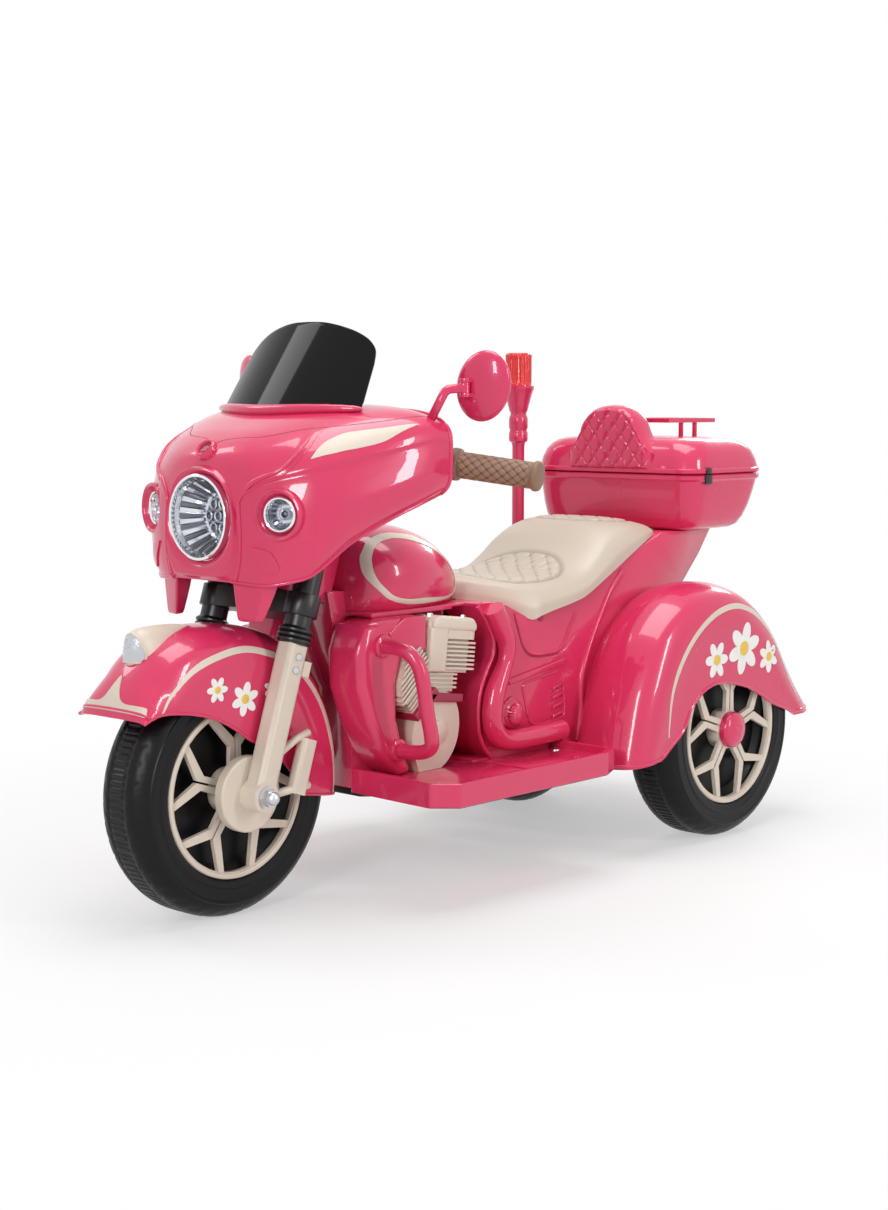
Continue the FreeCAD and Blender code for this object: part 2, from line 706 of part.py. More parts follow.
def lamp_lens(x, z, front, radius):
    """A shallow domed lens that seats on the mouth of its bowl."""
    rise = radius * 0.15
    ball = (radius * radius + rise * rise) / (2 * rise)
    dome = Part.makeSphere(ball, Vector(x, front - rise + ball, z))
    return dome.common(bar(radius, (x, front - rise - 1, z), (x, front - SEATED, z)))


def build_fairing():
    outer = hood_solid(FAIRING_STATIONS)
    cavity = hood_solid(FAIRING_STATIONS, FAIRING_WALL)
    nose = hood_end(FAIRING_STATIONS[0], FAIRING_WALL)
    hood = bar(HEADLAMP_RADIUS + 6, (0, HEADLAMP_FRONT, HEADLAMP_Z), (0, HEADLAMP_FRONT + 26, HEADLAMP_Z))
    pieces = [nose, hood, prong(), mirrored(prong())]
    holes = [bar(HEADLAMP_RADIUS + FIT_CLEARANCE, (0, HEADLAMP_FRONT - 20, HEADLAMP_Z),
                 (0, HEADLAMP_FRONT + HEADLAMP_DEPTH + 20, HEADLAMP_Z))]
    for x in (SIDE_LAMP_X, -SIDE_LAMP_X):
        mouth = Vector(x, SIDE_LAMP_FRONT, SIDE_LAMP_Z)
        pieces.append(Part.makeCone(SIDE_LAMP_RADIUS + 4, SIDE_LAMP_RADIUS + 9, 42, mouth, Vector(0, 1, 0)))
        ahead, behind = mouth - Vector(0, 10, 0), mouth + Vector(0, 60, 0)
        holes.append(bar(SIDE_LAMP_RADIUS + FIT_CLEARANCE, ahead, behind))
    shell = hood_shell(FAIRING_STATIONS, FAIRING_WALL).multiFuse(pieces)
    for hole in holes:
        shell = shell.cut(hole)
    add("fairing", largest(shell))

    lamps = [(0, HEADLAMP_Z, HEADLAMP_FRONT, HEADLAMP_DEPTH, HEADLAMP_RADIUS)]
    for x in (SIDE_LAMP_X, -SIDE_LAMP_X):
        lamps.append((x, SIDE_LAMP_Z, SIDE_LAMP_FRONT, SIDE_LAMP_DEPTH, SIDE_LAMP_RADIUS))
    add("headlamp", lamp_bowl(*lamps[0]))
    add("side_lamps", *[lamp_bowl(*lamp) for lamp in lamps[1:]])
    add("lamp_lenses", *[lamp_lens(x, z, front, radius) for x, z, front, depth, radius in lamps])

    reach = -FORK_OFFSET - COLLAR_RADIUS - SEATED
    plate = along_steering(block(-200, 200, reach - 6, reach, LOWER_YOKE_TOP + 20, UPPER_YOKE_TOP + 150))
    add("fairing_bulkhead", largest(plate.common(cavity)))
    build_windscreen(outer)
    build_dash(cavity)
    build_mirrors(outer)


# Windscreen: height, half width, Y of the side edges, Y of the middle
SCREEN_LOW = (585, 126, -256, -300)
SCREEN_HIGH = (705, 116, -182, -220)
SCREEN_THICK = 3.2


def build_windscreen(outer):
    def band(z, half, edge_y, middle_y):
        front = [Vector(-half, edge_y, z), Vector(0, middle_y, z), Vector(half, edge_y, z)]
        back = [p + Vector(0, SCREEN_THICK, 0) for p in front]
        return Part.Wire([
            Part.Arc(*front).toShape(), Part.LineSegment(front[2], back[2]).toShape(),
            Part.Arc(*reversed(back)).toShape(), Part.LineSegment(back[0], front[0]).toShape(),
        ])

    sheet = loft([band(*SCREEN_LOW), band(*SCREEN_HIGH)])
    side = [(121, 560), (111, 648), (107, 664), (91, 678), (47, 694)]
    other = [(-x, z) for x, z in side]
    outline = [
        [other[0], side[0]], side[:2], side[1:4], side[3:] + [(0, 699)] + list(reversed(other[3:])),
        list(reversed(other[1:4])), list(reversed(other[:2])),
    ]
    sheet = sheet.common(front_prism(outline, -330, -150))
    add("windscreen", largest(sheet.cut(outer)))


DASH_LOW = (-202.0, 548.0)
DASH_LEAN_DEG = 30.0
DASH_THICK = 4.0
DASH_CONTROL_X = 52.0


def build_dash(cavity):
    lean = math.radians(DASH_LEAN_DEG)
    along = Vector(0, -math.sin(lean), math.cos(lean))
    normal = Vector(0, math.cos(lean), math.sin(lean))
    foot = Vector(0, *DASH_LOW)
    edge = [foot + Vector(x, 0, 0) + along * k for x, k in ((-170, 0), (170, 0), (170, 75), (-170, 75))]
    plate = Part.Face(Part.makePolygon(edge + edge[:1])).extrude(normal * -DASH_THICK).common(cavity)
    middle = foot + along * 24
    gauge_rim = Part.makeCylinder(22, 5, middle, normal)
    button_at = middle + Vector(DASH_CONTROL_X, 0, 0)
    switch_at = middle - Vector(DASH_CONTROL_X, 0, 0)
    button_hole = Part.makeCylinder(BUTTON_RADIUS + FIT_CLEARANCE, 30, button_at - normal * 15, normal)
    tilt = Rotation(Vector(0, 0, 1), normal)
    length, width = SWITCH_LENGTH + 2 * FIT_CLEARANCE, SWITCH_WIDTH + 4 * FIT_CLEARANCE
    well = Part.makeBox(length, width, 30, Vector(-length / 2, -width / 2, -15))
    well.Placement = Placement(switch_at, tilt)
    add("dash_panel", largest(plate.fuse(gauge_rim).cut(button_hole).cut(well)).removeSplitter())

    low = DASH_THICK + FIT_CLEARANCE
    cap = Part.makeCylinder(BUTTON_RADIUS, low + 5, button_at - normal * low, normal)
    flange = Part.makeCylinder(BUTTON_RADIUS + 2, 2, button_at - normal * (low + 2), normal)
    add("power_button", cap.fuse(flange).removeSplitter())
    half = SWITCH_WIDTH / 2
    profile = [[(-half, 2), (0, 1), (half, 2)], [(half, 2), (half, -4)], [(half, -4), (-half, -4)],
               [(-half, -4), (-half, 2)]]
    rocker = side_prism(profile, -SWITCH_LENGTH / 2, SWITCH_LENGTH / 2)
    rocker.Placement = Placement(switch_at, tilt)
    add("direction_switch", rocker)


MIRROR_BASE = (166, -200, 562)
MIRROR_ELBOW = (178, -172, 617)
MIRROR_PIVOT = (190, -152, 619)
MIRROR_CENTRE = (200, -130, 621)
MIRROR_HALF = (34, 13, 43)
MIRROR_KNUCKLE = 6.0


def build_mirrors(outer):
    x, y, z = MIRROR_PIVOT
    half, ear = MIRROR_KNUCKLE, 5.0
    stem = rod([MIRROR_BASE, MIRROR_ELBOW, MIRROR_PIVOT], MIRROR_STEM_RADIUS, 12)
    knuckle = bar(MIRROR_STEM_RADIUS + 0.5, (x, y, z - half), (x, y, z + half))
    pin = bar(MIRROR_PIN_RADIUS, (x, y, z - half - ear), (x, y, z + half + ear))
    stem = max(stem.multiFuse([knuckle, pin]).cut(outer).Solids, key=lambda s: s.BoundBox.ZMax)
    add("mirror_stems", stem, mirrored(stem))

    scale = Matrix()
    scale.scale(Vector(*MIRROR_HALF))
    head = Part.makeSphere(1.0).transformGeometry(scale)
    head = head.cut(block(-60, 60, 6, 60, -60, 60))
    head.rotate(Vector(0, 0, 0), Vector(0, 0, 1), 18)
    head.rotate(Vector(0, 0, 0), Vector(0, 1, 0), 20)
    head.translate(Vector(*MIRROR_CENTRE))
    swept = bar(MIRROR_STEM_RADIUS + 2, (x, y, z - half - FIT_CLEARANCE), (x, y, z + half + FIT_CLEARANCE))
    ears = []
    for low in (z - half - ear, z + half + FIT_CLEARANCE):
        high = low + ear - FIT_CLEARANCE
        ring = bar(MIRROR_STEM_RADIUS + 0.5, (x, y, low), (x, y, high))
        ears += [ring, block(x - 5, x + 6, y, MIRROR_CENTRE[1], low, high)]
    bore = bar(MIRROR_PIN_RADIUS + RUNNING_CLEARANCE, (x, y, z - 30), (x, y, z + 30))
    head = largest(head.multiFuse(ears).cut(bore).cut(swept))
    add("mirror_left", head)
    add("mirror_right", mirrored(head))


# Body

BODY_FOOT = TRAY_TOP + FIT_CLEARANCE
CORE_OUTLINE = [
    (-198, BODY_FOOT), (-198, 250), (-222, 300), (-232, 345), (-238, 374), (-207, 374), (-207, DECK_Z),
    (-20, DECK_Z), (-20, BODY_FOOT),
]
SEAT_LINE = [
    (BODY_FRONT, DECK_Z), (-8, DECK_Z), (20, 343), (67, 322), (110, 331), (145, 337), (175, 344), (230, 369),
    (300, 401), (345, 416),
]
NECK_OUTLINE = [
    (352, NECK_TOP), (470, NECK_TOP), (442, 385), (402, 345), (388, 300), (385, 205), (262, 205),
    (230, BODY_FOOT),
]
BODY_OUTLINE = [(BODY_FRONT, BODY_FOOT)] + SEAT_LINE + NECK_OUTLINE
SOCKET_Y = 60.0
SOCKET_Z = 262.0


def centred_prism(points, inset, half_width):
    """A side-view outline moved inwards by inset and extruded both ways from the middle."""
    face = Part.Face(side_wire(corners(points), -half_width))
    if inset:
        face = face.makeOffset2D(-inset, 2)
    return face.extrude(Vector(2 * half_width, 0, 0))


def head_boss():
    """The block and ring that hold the head tube on the body's neck."""
    low, high = LOWER_YOKE_TOP + HEAD_GAP, UPPER_YOKE - HEAD_GAP
    ring = bar(HEAD_TUBE_RADIUS + 8, (0, 0, low), (0, 0, high))
    return along_steering(ring.fuse(block(-40, 40, 10, 44, low, high)).removeSplitter())


def build_body():
    core_in, body_in = CORE_HALF_WIDTH - WALL, BODY_HALF_WIDTH - WALL
    deck = block(-DECK_HALF_WIDTH, DECK_HALF_WIDTH, -204, BODY_FRONT + 1, DECK_Z - DECK_DEPTH, DECK_Z)
    outer = centred_prism(CORE_OUTLINE, 0, CORE_HALF_WIDTH).multiFuse(
        [centred_prism(BODY_OUTLINE, 0, BODY_HALF_WIDTH), deck])
    hollow = centred_prism(CORE_OUTLINE, WALL, core_in).multiFuse([
        centred_prism(BODY_OUTLINE, WALL, body_in),
        block(-core_in, core_in, -198 + WALL, -20, 120, 140),
        block(-body_in, body_in, BODY_FRONT + WALL, 230 - WALL, 120, 140),
        block(-core_in, core_in, -60, 0, 120, DECK_Z - 20),
    ])
    shell = outer.cut(hollow).fuse(head_boss())
    shell = shell.cut(along_steering(bar(HEAD_TUBE_RADIUS + SEATED / 2, (0, 0, 200), (0, 0, 400))))
    left = shell.common(block(0, BEYOND, -BEYOND, BEYOND, -BEYOND, BEYOND))
    right = shell.common(block(-BEYOND, 0, -BEYOND, BEYOND, -BEYOND, BEYOND))
    socket_from, socket_to = -BODY_HALF_WIDTH - 22, -BODY_HALF_WIDTH + 18
    right = right.cut(cross_bar(SOCKET_RADIUS + FIT_CLEARANCE, socket_from, socket_to, SOCKET_Y, SOCKET_Z))
    add("body_shell_left", left.removeSplitter())
    add("body_shell_right", right.removeSplitter())

    barrel = cross_bar(SOCKET_RADIUS, -BODY_HALF_WIDTH - 1, -BODY_HALF_WIDTH + 22, SOCKET_Y, SOCKET_Z)
    face_x = -BODY_HALF_WIDTH - 3.5
    flange = cross_bar(SOCKET_RADIUS + 3.5, face_x, -BODY_HALF_WIDTH - SEATED, SOCKET_Y, SOCKET_Z)
    jack = cross_bar(SOCKET_BORE, face_x - 5, -BODY_HALF_WIDTH + 14, SOCKET_Y, SOCKET_Z)
    add("charge_socket", barrel.fuse(flange).cut(jack).removeSplitter())


def build_tray():
    half = TRAY_HALF_WIDTH
    outline = [(-60, -198), (60, -198), (half, -170), (half, 425), (-half, 425), (-half, -170)]
    bosses = []
    for x in (half - 14, -half):
        bosses.append(block(x, x + 14, REAR_AXLE_Y - 18, REAR_AXLE_Y + 18, TRAY_TOP - 1, AXLE_Z + 22))
    tray = plan_prism(corners(outline), TRAY_LOW, TRAY_TOP).multiFuse(bosses)
    hole = cross_bar(AXLE_RADIUS + SEATED / 2, -200, 200, REAR_AXLE_Y)
    add("chassis_tray", tray.cut(hole).removeSplitter())


# Tank cover: Y, half width, lower edge, top, squareness
TANK_EDGE = DECK_Z + FIT_CLEARANCE
TANK_POWER = 2.2
TANK_STATIONS = [
    (-206, 56, TANK_EDGE, 430, TANK_POWER), (-190, 84, TANK_EDGE, 444, TANK_POWER),
    (-155, 98, TANK_EDGE, 451, TANK_POWER), (-110, 97, TANK_EDGE, 450, TANK_POWER),
    (-65, 84, TANK_EDGE, 436, TANK_POWER), (-30, 64, TANK_EDGE, 410, TANK_POWER),
    (-8, 42, TANK_EDGE, 384, TANK_POWER),
]


def build_tank():
    ends = [hood_end(TANK_STATIONS[0], WALL), hood_end(TANK_STATIONS[-1], -WALL)]
    neck_room = block(-50, 50, -240, -200, 300, 376)
    cover = hood_shell(TANK_STATIONS, WALL).multiFuse(ends).cut(neck_room)
    add("tank_cover", largest(cover).removeSplitter())


# Cowl: its side view, set back from the front tyre. Each corner: distance behind the tyre's back, height.
COWL_Y = FRONT_AXLE_Y + TYRE_RADIUS
COWL_TOP = DECK_Z - DECK_DEPTH - FIT_CLEARANCE
COWL_FOOT = BOARD_FLOOR + FIT_CLEARANCE
COWL_CORNERS = [
    (98, COWL_TOP), (28, COWL_TOP), (-4, 336), (-17, 305), (-15, 262), (2, 219), (23, 182), (40, 160),
    (56, COWL_FOOT), (80, COWL_FOOT), (63, 178), (52, 220), (50, 262), (60, 292), (98, 312),
]
COWL_OUTLINE = [(COWL_Y + behind, z) for behind, z in COWL_CORNERS]


def inset_outline(points, inset):
    """A closed outline, listed anticlockwise from the left side, with every edge moved inwards."""
    moved = []
    for before, here, after in zip(points[-1:] + points[:-1], points, points[1:] + points[:1]):
        normals = []
        for a, b in ((before, here), (here, after)):
            length = math.hypot(b[0] - a[0], b[1] - a[1])
            normals.append(((a[1] - b[1]) / length, (b[0] - a[0]) / length))
        across = (normals[0][0] + normals[1][0], normals[0][1] + normals[1][1])
        scale = 2 * inset / (across[0] ** 2 + across[1] ** 2)
        moved.append((here[0] + across[0] * scale, here[1] + across[1] * scale))
    return moved


def cowl():
    """The air cowl beside the neck, with its outer edges rounded off."""
    inner_x = CORE_HALF_WIDTH + FIT_CLEARANCE
    levels = [(inner_x, 0), (COWL_FACE - COWL_ROUND, 0), (COWL_FACE - 0.3 * COWL_ROUND, 0.3 * COWL_ROUND),
              (COWL_FACE, COWL_ROUND)]
    return loft([side_wire(corners(inset_outline(COWL_OUTLINE, inset)), x) for x, inset in levels])


def finned_cylinder(lean_deg, behind):
    """One dummy engine cylinder, upright and then leaned about the crank.

    Its barrel and head are stretched behind the crank's middle by the second value.
    """
    x0, x1 = CORE_HALF_WIDTH + FIT_CLEARANCE, COWL_FACE + 2
    solids = [block(x0, x1 - 6, -22, 22, 40, 66), block(x0, x1 - 3, -27, 27 + behind, 64, 106)]
    fin, pitch = 2.6, 5.4
    for k in range(4):
        low = 44 + k * pitch
        solids.append(block(x0, x1 - 3, -26, 26, low, low + fin))
    for k in range(7):
        low = 68 + k * pitch
        solids.append(block(x0, x1 + 3, -34, 34 + behind, low, low + fin))
    head = block(x0, x1 + 4, -35, 35 + behind, 106, 130)
    head = head.makeFillet(9.0, [e for e in head.Edges if e.BoundBox.ZMax > 129 and e.BoundBox.XMax > x0 + 1])
    shape = solids[0].multiFuse(solids[1:] + [head]).removeSplitter()
    shape.rotate(Vector(0, 0, 0), Vector(1, 0, 0), lean_deg)
    shape.translate(Vector(0, -104, 205))
    return shape


CRANKCASE_CURVE = [
    (-150, 176), (-146, 214), (-112, 246), (-78, 236), (-66, 204), (-74, 172), (-100, COWL_FOOT),
]


def build_engine():
    left_cowl = cowl()
    add("front_cowls", left_cowl, mirrored(left_cowl))
    keep_out = side_prism(corners(COWL_OUTLINE), 0, 140)
    rear = largest(finned_cylinder(-7, BARREL_STRETCH).cut(keep_out))
    front = largest(finned_cylinder(40, 0).cut(keep_out).cut(rear))
    foot = (-140, COWL_FOOT)
    runs = [CRANKCASE_CURVE, [CRANKCASE_CURVE[-1], foot], [foot, CRANKCASE_CURVE[0]]]
    case = side_prism(runs, CORE_HALF_WIDTH + FIT_CLEARANCE, COWL_FACE - 2)
    case = largest(case.cut(keep_out).cut(rear).cut(front))
    castings = [rear, front, case]
    add("engine_castings", *castings, *[mirrored(s) for s in castings])

    x = BODY_HALF_WIDTH + EXHAUST_RADIUS + FIT_CLEARANCE
    route = [(x, -22, 332), (x, -14, 286), (x, -22, 226), (x, -22, 172), (x, 100, 174)]
    end = Vector(*route[-1])
    cap = Part.makeCone(EXHAUST_RADIUS, EXHAUST_RADIUS - 6, 10, end, end - Vector(*route[-2]))
    pipe = rod(route, EXHAUST_RADIUS, 27).fuse(cap)
    add("exhaust_pipes", pipe, mirrored(pipe))

    face_x, reach = COWL_FACE + FIT_CLEARANCE, CRASH_BAR_REACH
    upper, lower = (COWL_Y + 24, 308), (COWL_Y + 40, 184)
    route = [(face_x, *upper), (reach, *upper), (reach, *lower), (face_x, *lower)]
    loop = rod(route, CRASH_BAR_RADIUS, 22)
    add("crash_bars", loop, mirrored(loop))


def board_outline(inset):
    """The footboard's plan, moved inwards by inset on its outer edges."""
    outer, front, rear = BOARD_OUTER - inset, BOARD_FRONT + inset, BOARD_REAR - inset
    return [(BOARD_INNER, front + 8), (outer - 26, front), (outer, front + 24), (outer, rear - 34),
            (outer - 16, rear), (BOARD_INNER, rear)]


def build_boards():
    low = TRAY_TOP + SEATED
    board = plan_prism(corners(board_outline(0)), low, BOARD_TOP)
    board = board.cut(plan_prism(corners(board_outline(BOARD_RIM)), BOARD_FLOOR, BOARD_TOP + 1))
    opened = plan_prism(corners(board_outline(WALL)), low - 1, BOARD_FLOOR - WALL)
    tray_seat = block(0, TRAY_HALF_WIDTH, -400, 400, 0, BOARD_FLOOR)
    board = board.cut(opened.cut(tray_seat))
    board = board.cut(block(0, BODY_HALF_WIDTH + FIT_CLEARANCE, BODY_FRONT - FIT_CLEARANCE, 300, 0, 400))
    board = largest(board.removeSplitter())
    add("footboard_left", board)
    pedal, ears = accelerator_pedal()
    add("footboard_right", mirrored(board).multiFuse(ears))
    add("accelerator_pedal", pedal)


PEDAL_Y = -50.0
PEDAL_Z = BOARD_FLOOR + 7.0


def accelerator_pedal():
    """A treadle on the right board, hinged at its heel on two moulded ears."""
    y, z, toe = PEDAL_Y, PEDAL_Z, PEDAL_Y - PEDAL_LENGTH
    profile = [(y, z - 3), (toe, z + 9), (toe, z + 13), (y, z + 3)]
    plate = side_prism(corners(profile), PEDAL_OUTER, PEDAL_INNER)
    pin = cross_bar(PEDAL_PIN_RADIUS, PEDAL_OUTER - 8, PEDAL_INNER + 8, y, z)
    barrel = cross_bar(PEDAL_PIN_RADIUS + 1.5, PEDAL_OUTER, PEDAL_INNER, y, z)
    hole = cross_bar(PEDAL_PIN_RADIUS + RUNNING_CLEARANCE, PEDAL_OUTER - 20, PEDAL_INNER + 20, y, z)
    ears = []
    for x in (PEDAL_OUTER - 7, PEDAL_INNER + 1):
        ears.append(block(x, x + 6, y - 7, y + 7, BOARD_FLOOR - 1, z + 6).cut(hole))
    return plate.multiFuse([pin, barrel]).removeSplitter(), ears


# Seat: Y, half width, edge height, crown height
SEAT_STATIONS = [
    (-7.7, 44, 340, 381), (25, 78, 330, 379), (67, 112, 314, 376), (105, 117, 322, 375),
    (138, 117, 330, 376), (160, 116, 334, 378), (185, 115, 340, 386), (210, 114, 352, 402),
    (235, 113, 365, 422), (265, 111, 379, 437), (300, 108, 395, 441), (346, 98, 408, 433),
]


def seat_section(y, half, low, top):
    rise = top - low
    side = [(half, low), (0.985 * half, low + 0.34 * rise), (0.86 * half, low + 0.74 * rise),
            (0.55 * half, low + 0.95 * rise)]
    over = side + [(0, top)] + [(-x, z) for x, z in reversed(side)]
    return wire_of([over, [(-half, low), (half, low)]], lambda x, z: Vector(x, y, z))


def build_seat():
    line = [(y, z + FIT_CLEARANCE) for y, z in SEAT_LINE + NECK_OUTLINE[:2]]
    below = [(BODY_FRONT, 200)] + line + [(NECK_OUTLINE[1][0], 200)]
    blank = loft([seat_section(*station) for station in SEAT_STATIONS])
    add("seat", largest(blank.cut(side_prism(corners(below), -160, 160))))


# Battery, controls and drive

def gear_prism(teeth, turn_deg, x, width, y, z):
    """A spur gear with involute flanks, thinned for backlash. A tooth points ahead at turn 0."""
    pitch = teeth * GEAR_MODULE / 2
    pressure = math.radians(20)
    base = pitch * math.cos(pressure)
    tip, root = pitch + GEAR_MODULE, pitch - 1.25 * GEAR_MODULE
    half_angle = math.pi / (2 * teeth) - BACKLASH / (2 * pitch) + math.tan(pressure) - pressure
    start, steps = max(base, root), 4
    flank = []
    for k in range(steps + 1):
        r = start + (tip - start) * k / steps
        angle = math.acos(min(1.0, base / r))
        flank.append((r, half_angle - (math.tan(angle) - angle)))
    if root < base:
        flank.insert(0, (root, flank[0][1]))
    outline = []
    for tooth in range(teeth):
        mid = math.pi + 2 * math.pi * tooth / teeth + math.radians(turn_deg)
        for r, a in [(r, -a) for r, a in flank] + list(reversed(flank)):
            outline.append((y + r * math.cos(mid + a), z + r * math.sin(mid + a)))
    return side_prism(corners(outline), x, x + width)


def build_power():
    add("battery", block(-32.5, 32.5, 40, 191, TRAY_TOP + SEATED, TRAY_TOP + 94))
    add("control_box", block(-36, 36, -160, -50, TRAY_TOP + SEATED, TRAY_TOP + 32))

    wheel_x = -REAR_TRACK_HALF + TYRE_HALF_WIDTH + HUB_PROUD
    gear_x = wheel_x + 9
    case_x0, case_x1 = wheel_x + 3.5, gear_x + GEAR_WIDTH + 9
    pitch_gap = (DRIVE_TEETH + PINION_TEETH) * GEAR_MODULE / 2
    pinion_y = REAR_AXLE_Y - pitch_gap
    gear = gear_prism(DRIVE_TEETH, 0.0, gear_x, GEAR_WIDTH, REAR_AXLE_Y, AXLE_Z)
    hub = cross_bar(GEAR_HUB_RADIUS, wheel_x + SEATED, gear_x + GEAR_WIDTH + 3, REAR_AXLE_Y)
    add("drive_gear", gear.fuse(hub).cut(cross_bar(WHEEL_BORE, -300, 0, REAR_AXLE_Y)))
    pinion = gear_prism(PINION_TEETH, 180.0 / PINION_TEETH, gear_x, GEAR_WIDTH, pinion_y, AXLE_Z)
    shaft_end = case_x1 + 14
    add("motor_pinion", pinion.fuse(cross_bar(SHAFT_RADIUS, gear_x - 1, shaft_end, pinion_y)))

    gear_room = DRIVE_TEETH * GEAR_MODULE / 2 + GEAR_MODULE + 1.5
    pinion_room = PINION_TEETH * GEAR_MODULE / 2 + GEAR_MODULE + 3.5

    def pill(grow, x0, x1):
        big = cross_bar(gear_room + grow, x0, x1, REAR_AXLE_Y)
        return big.fuse(cross_bar(pinion_room + grow, x0, x1, pinion_y))

    shaft_hole = cross_bar(SHAFT_RADIUS + RUNNING_CLEARANCE, case_x1 - CASE_WALL - 1, shaft_end + 1, pinion_y)
    case = pill(CASE_WALL, case_x0, case_x1).cut(pill(0, case_x0 + CASE_WALL, case_x1 - CASE_WALL))
    case = case.cut(cross_bar(GEAR_HUB_RADIUS + 0.6, case_x0 - 1, case_x0 + CASE_WALL + 1, REAR_AXLE_Y))
    case = case.cut(cross_bar(AXLE_RADIUS + SEATED, -300, 0, REAR_AXLE_Y)).cut(shaft_hole)
    add("gearbox_housing", case)
    motor_x = case_x1 + SEATED
    add("motor", cross_bar(MOTOR_RADIUS, motor_x, motor_x + MOTOR_LENGTH, pinion_y).cut(shaft_hole))


# Trunk

HINGE_Y = TRUNK_REAR + KNUCKLE_RADIUS + 0.6
BACKREST_HALF = [(66, -8), (56, 4), (46, 28), (28, 44), (0, 49)]
BACKREST_ARCH = [(x, LID_TOP + over) for x, over in BACKREST_HALF]
BACKREST_ARCH += [(-x, z) for x, z in reversed(BACKREST_ARCH[:-1])]
RAIL_Z = LID_TOP + 26.0


def along_trunk(steps):
    """How far a number of even steps along the trunk reaches, with TRUNK_STEPS in its length."""
    return TRUNK_LENGTH * steps / TRUNK_STEPS


# Luggage rail: across, steps behind the trunk's front
RAIL_PLAN = [(46, 80), (54, 98), (54, 184), (38, 200), (-38, 200), (-54, 184), (-54, 98), (-46, 80)]
RAIL_LOOP = [(x, TRUNK_FRONT + along_trunk(steps)) for x, steps in RAIL_PLAN]


def tub(levels, inset):
    """A solid through level rounded rectangles: height, how far each side draws in, corner radius.

    The front and rear draw in by steps along the trunk.
    """
    half, front, rear = TRUNK_HALF_WIDTH - inset, TRUNK_FRONT + inset, TRUNK_REAR - inset
    wires = []
    for z, side, ahead, behind, radius in levels:
        start, end = front + along_trunk(ahead), rear - along_trunk(behind)
        wires.append(rounded_plan(z, half - side, start, end, min(radius - inset, 0.48 * (end - start))))
    return loft(wires)


def build_trunk():
    t = TRUNK_WALL
    floor, rim = NECK_TOP + FIT_CLEARANCE, TRUNK_RIM_Z
    bend, shoulder = floor + 28, rim + LID_HEIGHT * 2 / 3
    low_side, mid_side, top_side = (29, 20, 56, 26), (13, 8, 26, 30), (0, 0, 0, 34)
    box_out = tub([(floor, *low_side), (bend, *mid_side), (rim - FIT_CLEARANCE, *top_side)], 0)
    box_in = tub([(floor + t, *low_side), (bend, *mid_side), (rim + 1, *top_side)], t)
    lid_low = rim + FIT_CLEARANCE
    lid_mid, lid_high = (5, 5, 8, 40), (25, 20, 32, 44)
    lid_out = tub([(lid_low, *top_side), (shoulder, *lid_mid), (LID_TOP, *lid_high)], 0)
    lid_in = tub([(lid_low - 1, *top_side), (shoulder - 2, *lid_mid), (LID_TOP - t, *lid_high)], t)
    arch = BACKREST_ARCH
    left, right = (arch[0][0], lid_low), (arch[-1][0], lid_low)
    rest_runs = [[right, left], [left, arch[0]], arch, [arch[-1], right]]
    rest = front_prism(rest_runs, TRUNK_FRONT + 2, TRUNK_FRONT + 32)
    box = box_out.cut(box_in)
    lid = lid_out.fuse(rest).cut(lid_in)
    strap = 4.2
    for k, x in enumerate((-54, -30, 18, 42)):
        barrel = cross_bar(KNUCKLE_RADIUS, x, x + 11.5, HINGE_Y, rim)
        on_lid = k % 2 == 0
        low = rim + 0.4 if on_lid else rim - 0.4 - strap
        knuckle = barrel.fuse(block(x, x + 11.5, TRUNK_REAR - t, HINGE_Y, low, low + strap))
        if on_lid:
            lid = lid.fuse(knuckle)
        else:
            box = box.fuse(knuckle)
    hole = cross_bar(HINGE_PIN_RADIUS + RUNNING_CLEARANCE, -80, 80, HINGE_Y, rim)
    add("trunk_box", box.cut(hole).removeSplitter())
    add("trunk_lid", lid.cut(hole).removeSplitter())
    add("trunk_hinge_pin", cross_bar(HINGE_PIN_RADIUS, -58, 58, HINGE_Y, rim))

    inner_front, outer_front = TRUNK_FRONT + along_trunk(90), TRUNK_FRONT + along_trunk(80)
    ring_in = [(x * 0.85, inner_front + (y - outer_front) * 0.85) for x, y in RAIL_LOOP]
    ring = plan_prism(corners(RAIL_LOOP), RAIL_Z - 3, RAIL_Z + 3)
    ring = ring.cut(plan_prism(corners(ring_in), RAIL_Z - 4, RAIL_Z + 4))
    post_places = [TRUNK_FRONT + along_trunk(steps) for steps in (104, 138)]
    posts = [bar(3.5, (x, y, LID_TOP - 8), (x, y, RAIL_Z)) for x in (50, -50) for y in post_places]
    add("luggage_rail", largest(ring.multiFuse(posts).removeSplitter().cut(lid_out)))


def set_down():
    """How far the drawing moves so that the tyres stand on the floor and the length is centred."""
    nose_angle, nose_rise = FRONT_FENDER_STATIONS[0][:2]
    tail_angle, tail_rise = REAR_FENDER_STATIONS[-1][:2]
    nose = FRONT_AXLE_Y - (TYRE_RADIUS + nose_rise) * math.cos(math.radians(nose_angle))
    tail = REAR_AXLE_Y - (TYRE_RADIUS + tail_rise) * math.cos(math.radians(tail_angle))
    return Vector(0, -(nose + tail) / 2, TYRE_RADIUS - AXLE_Z)


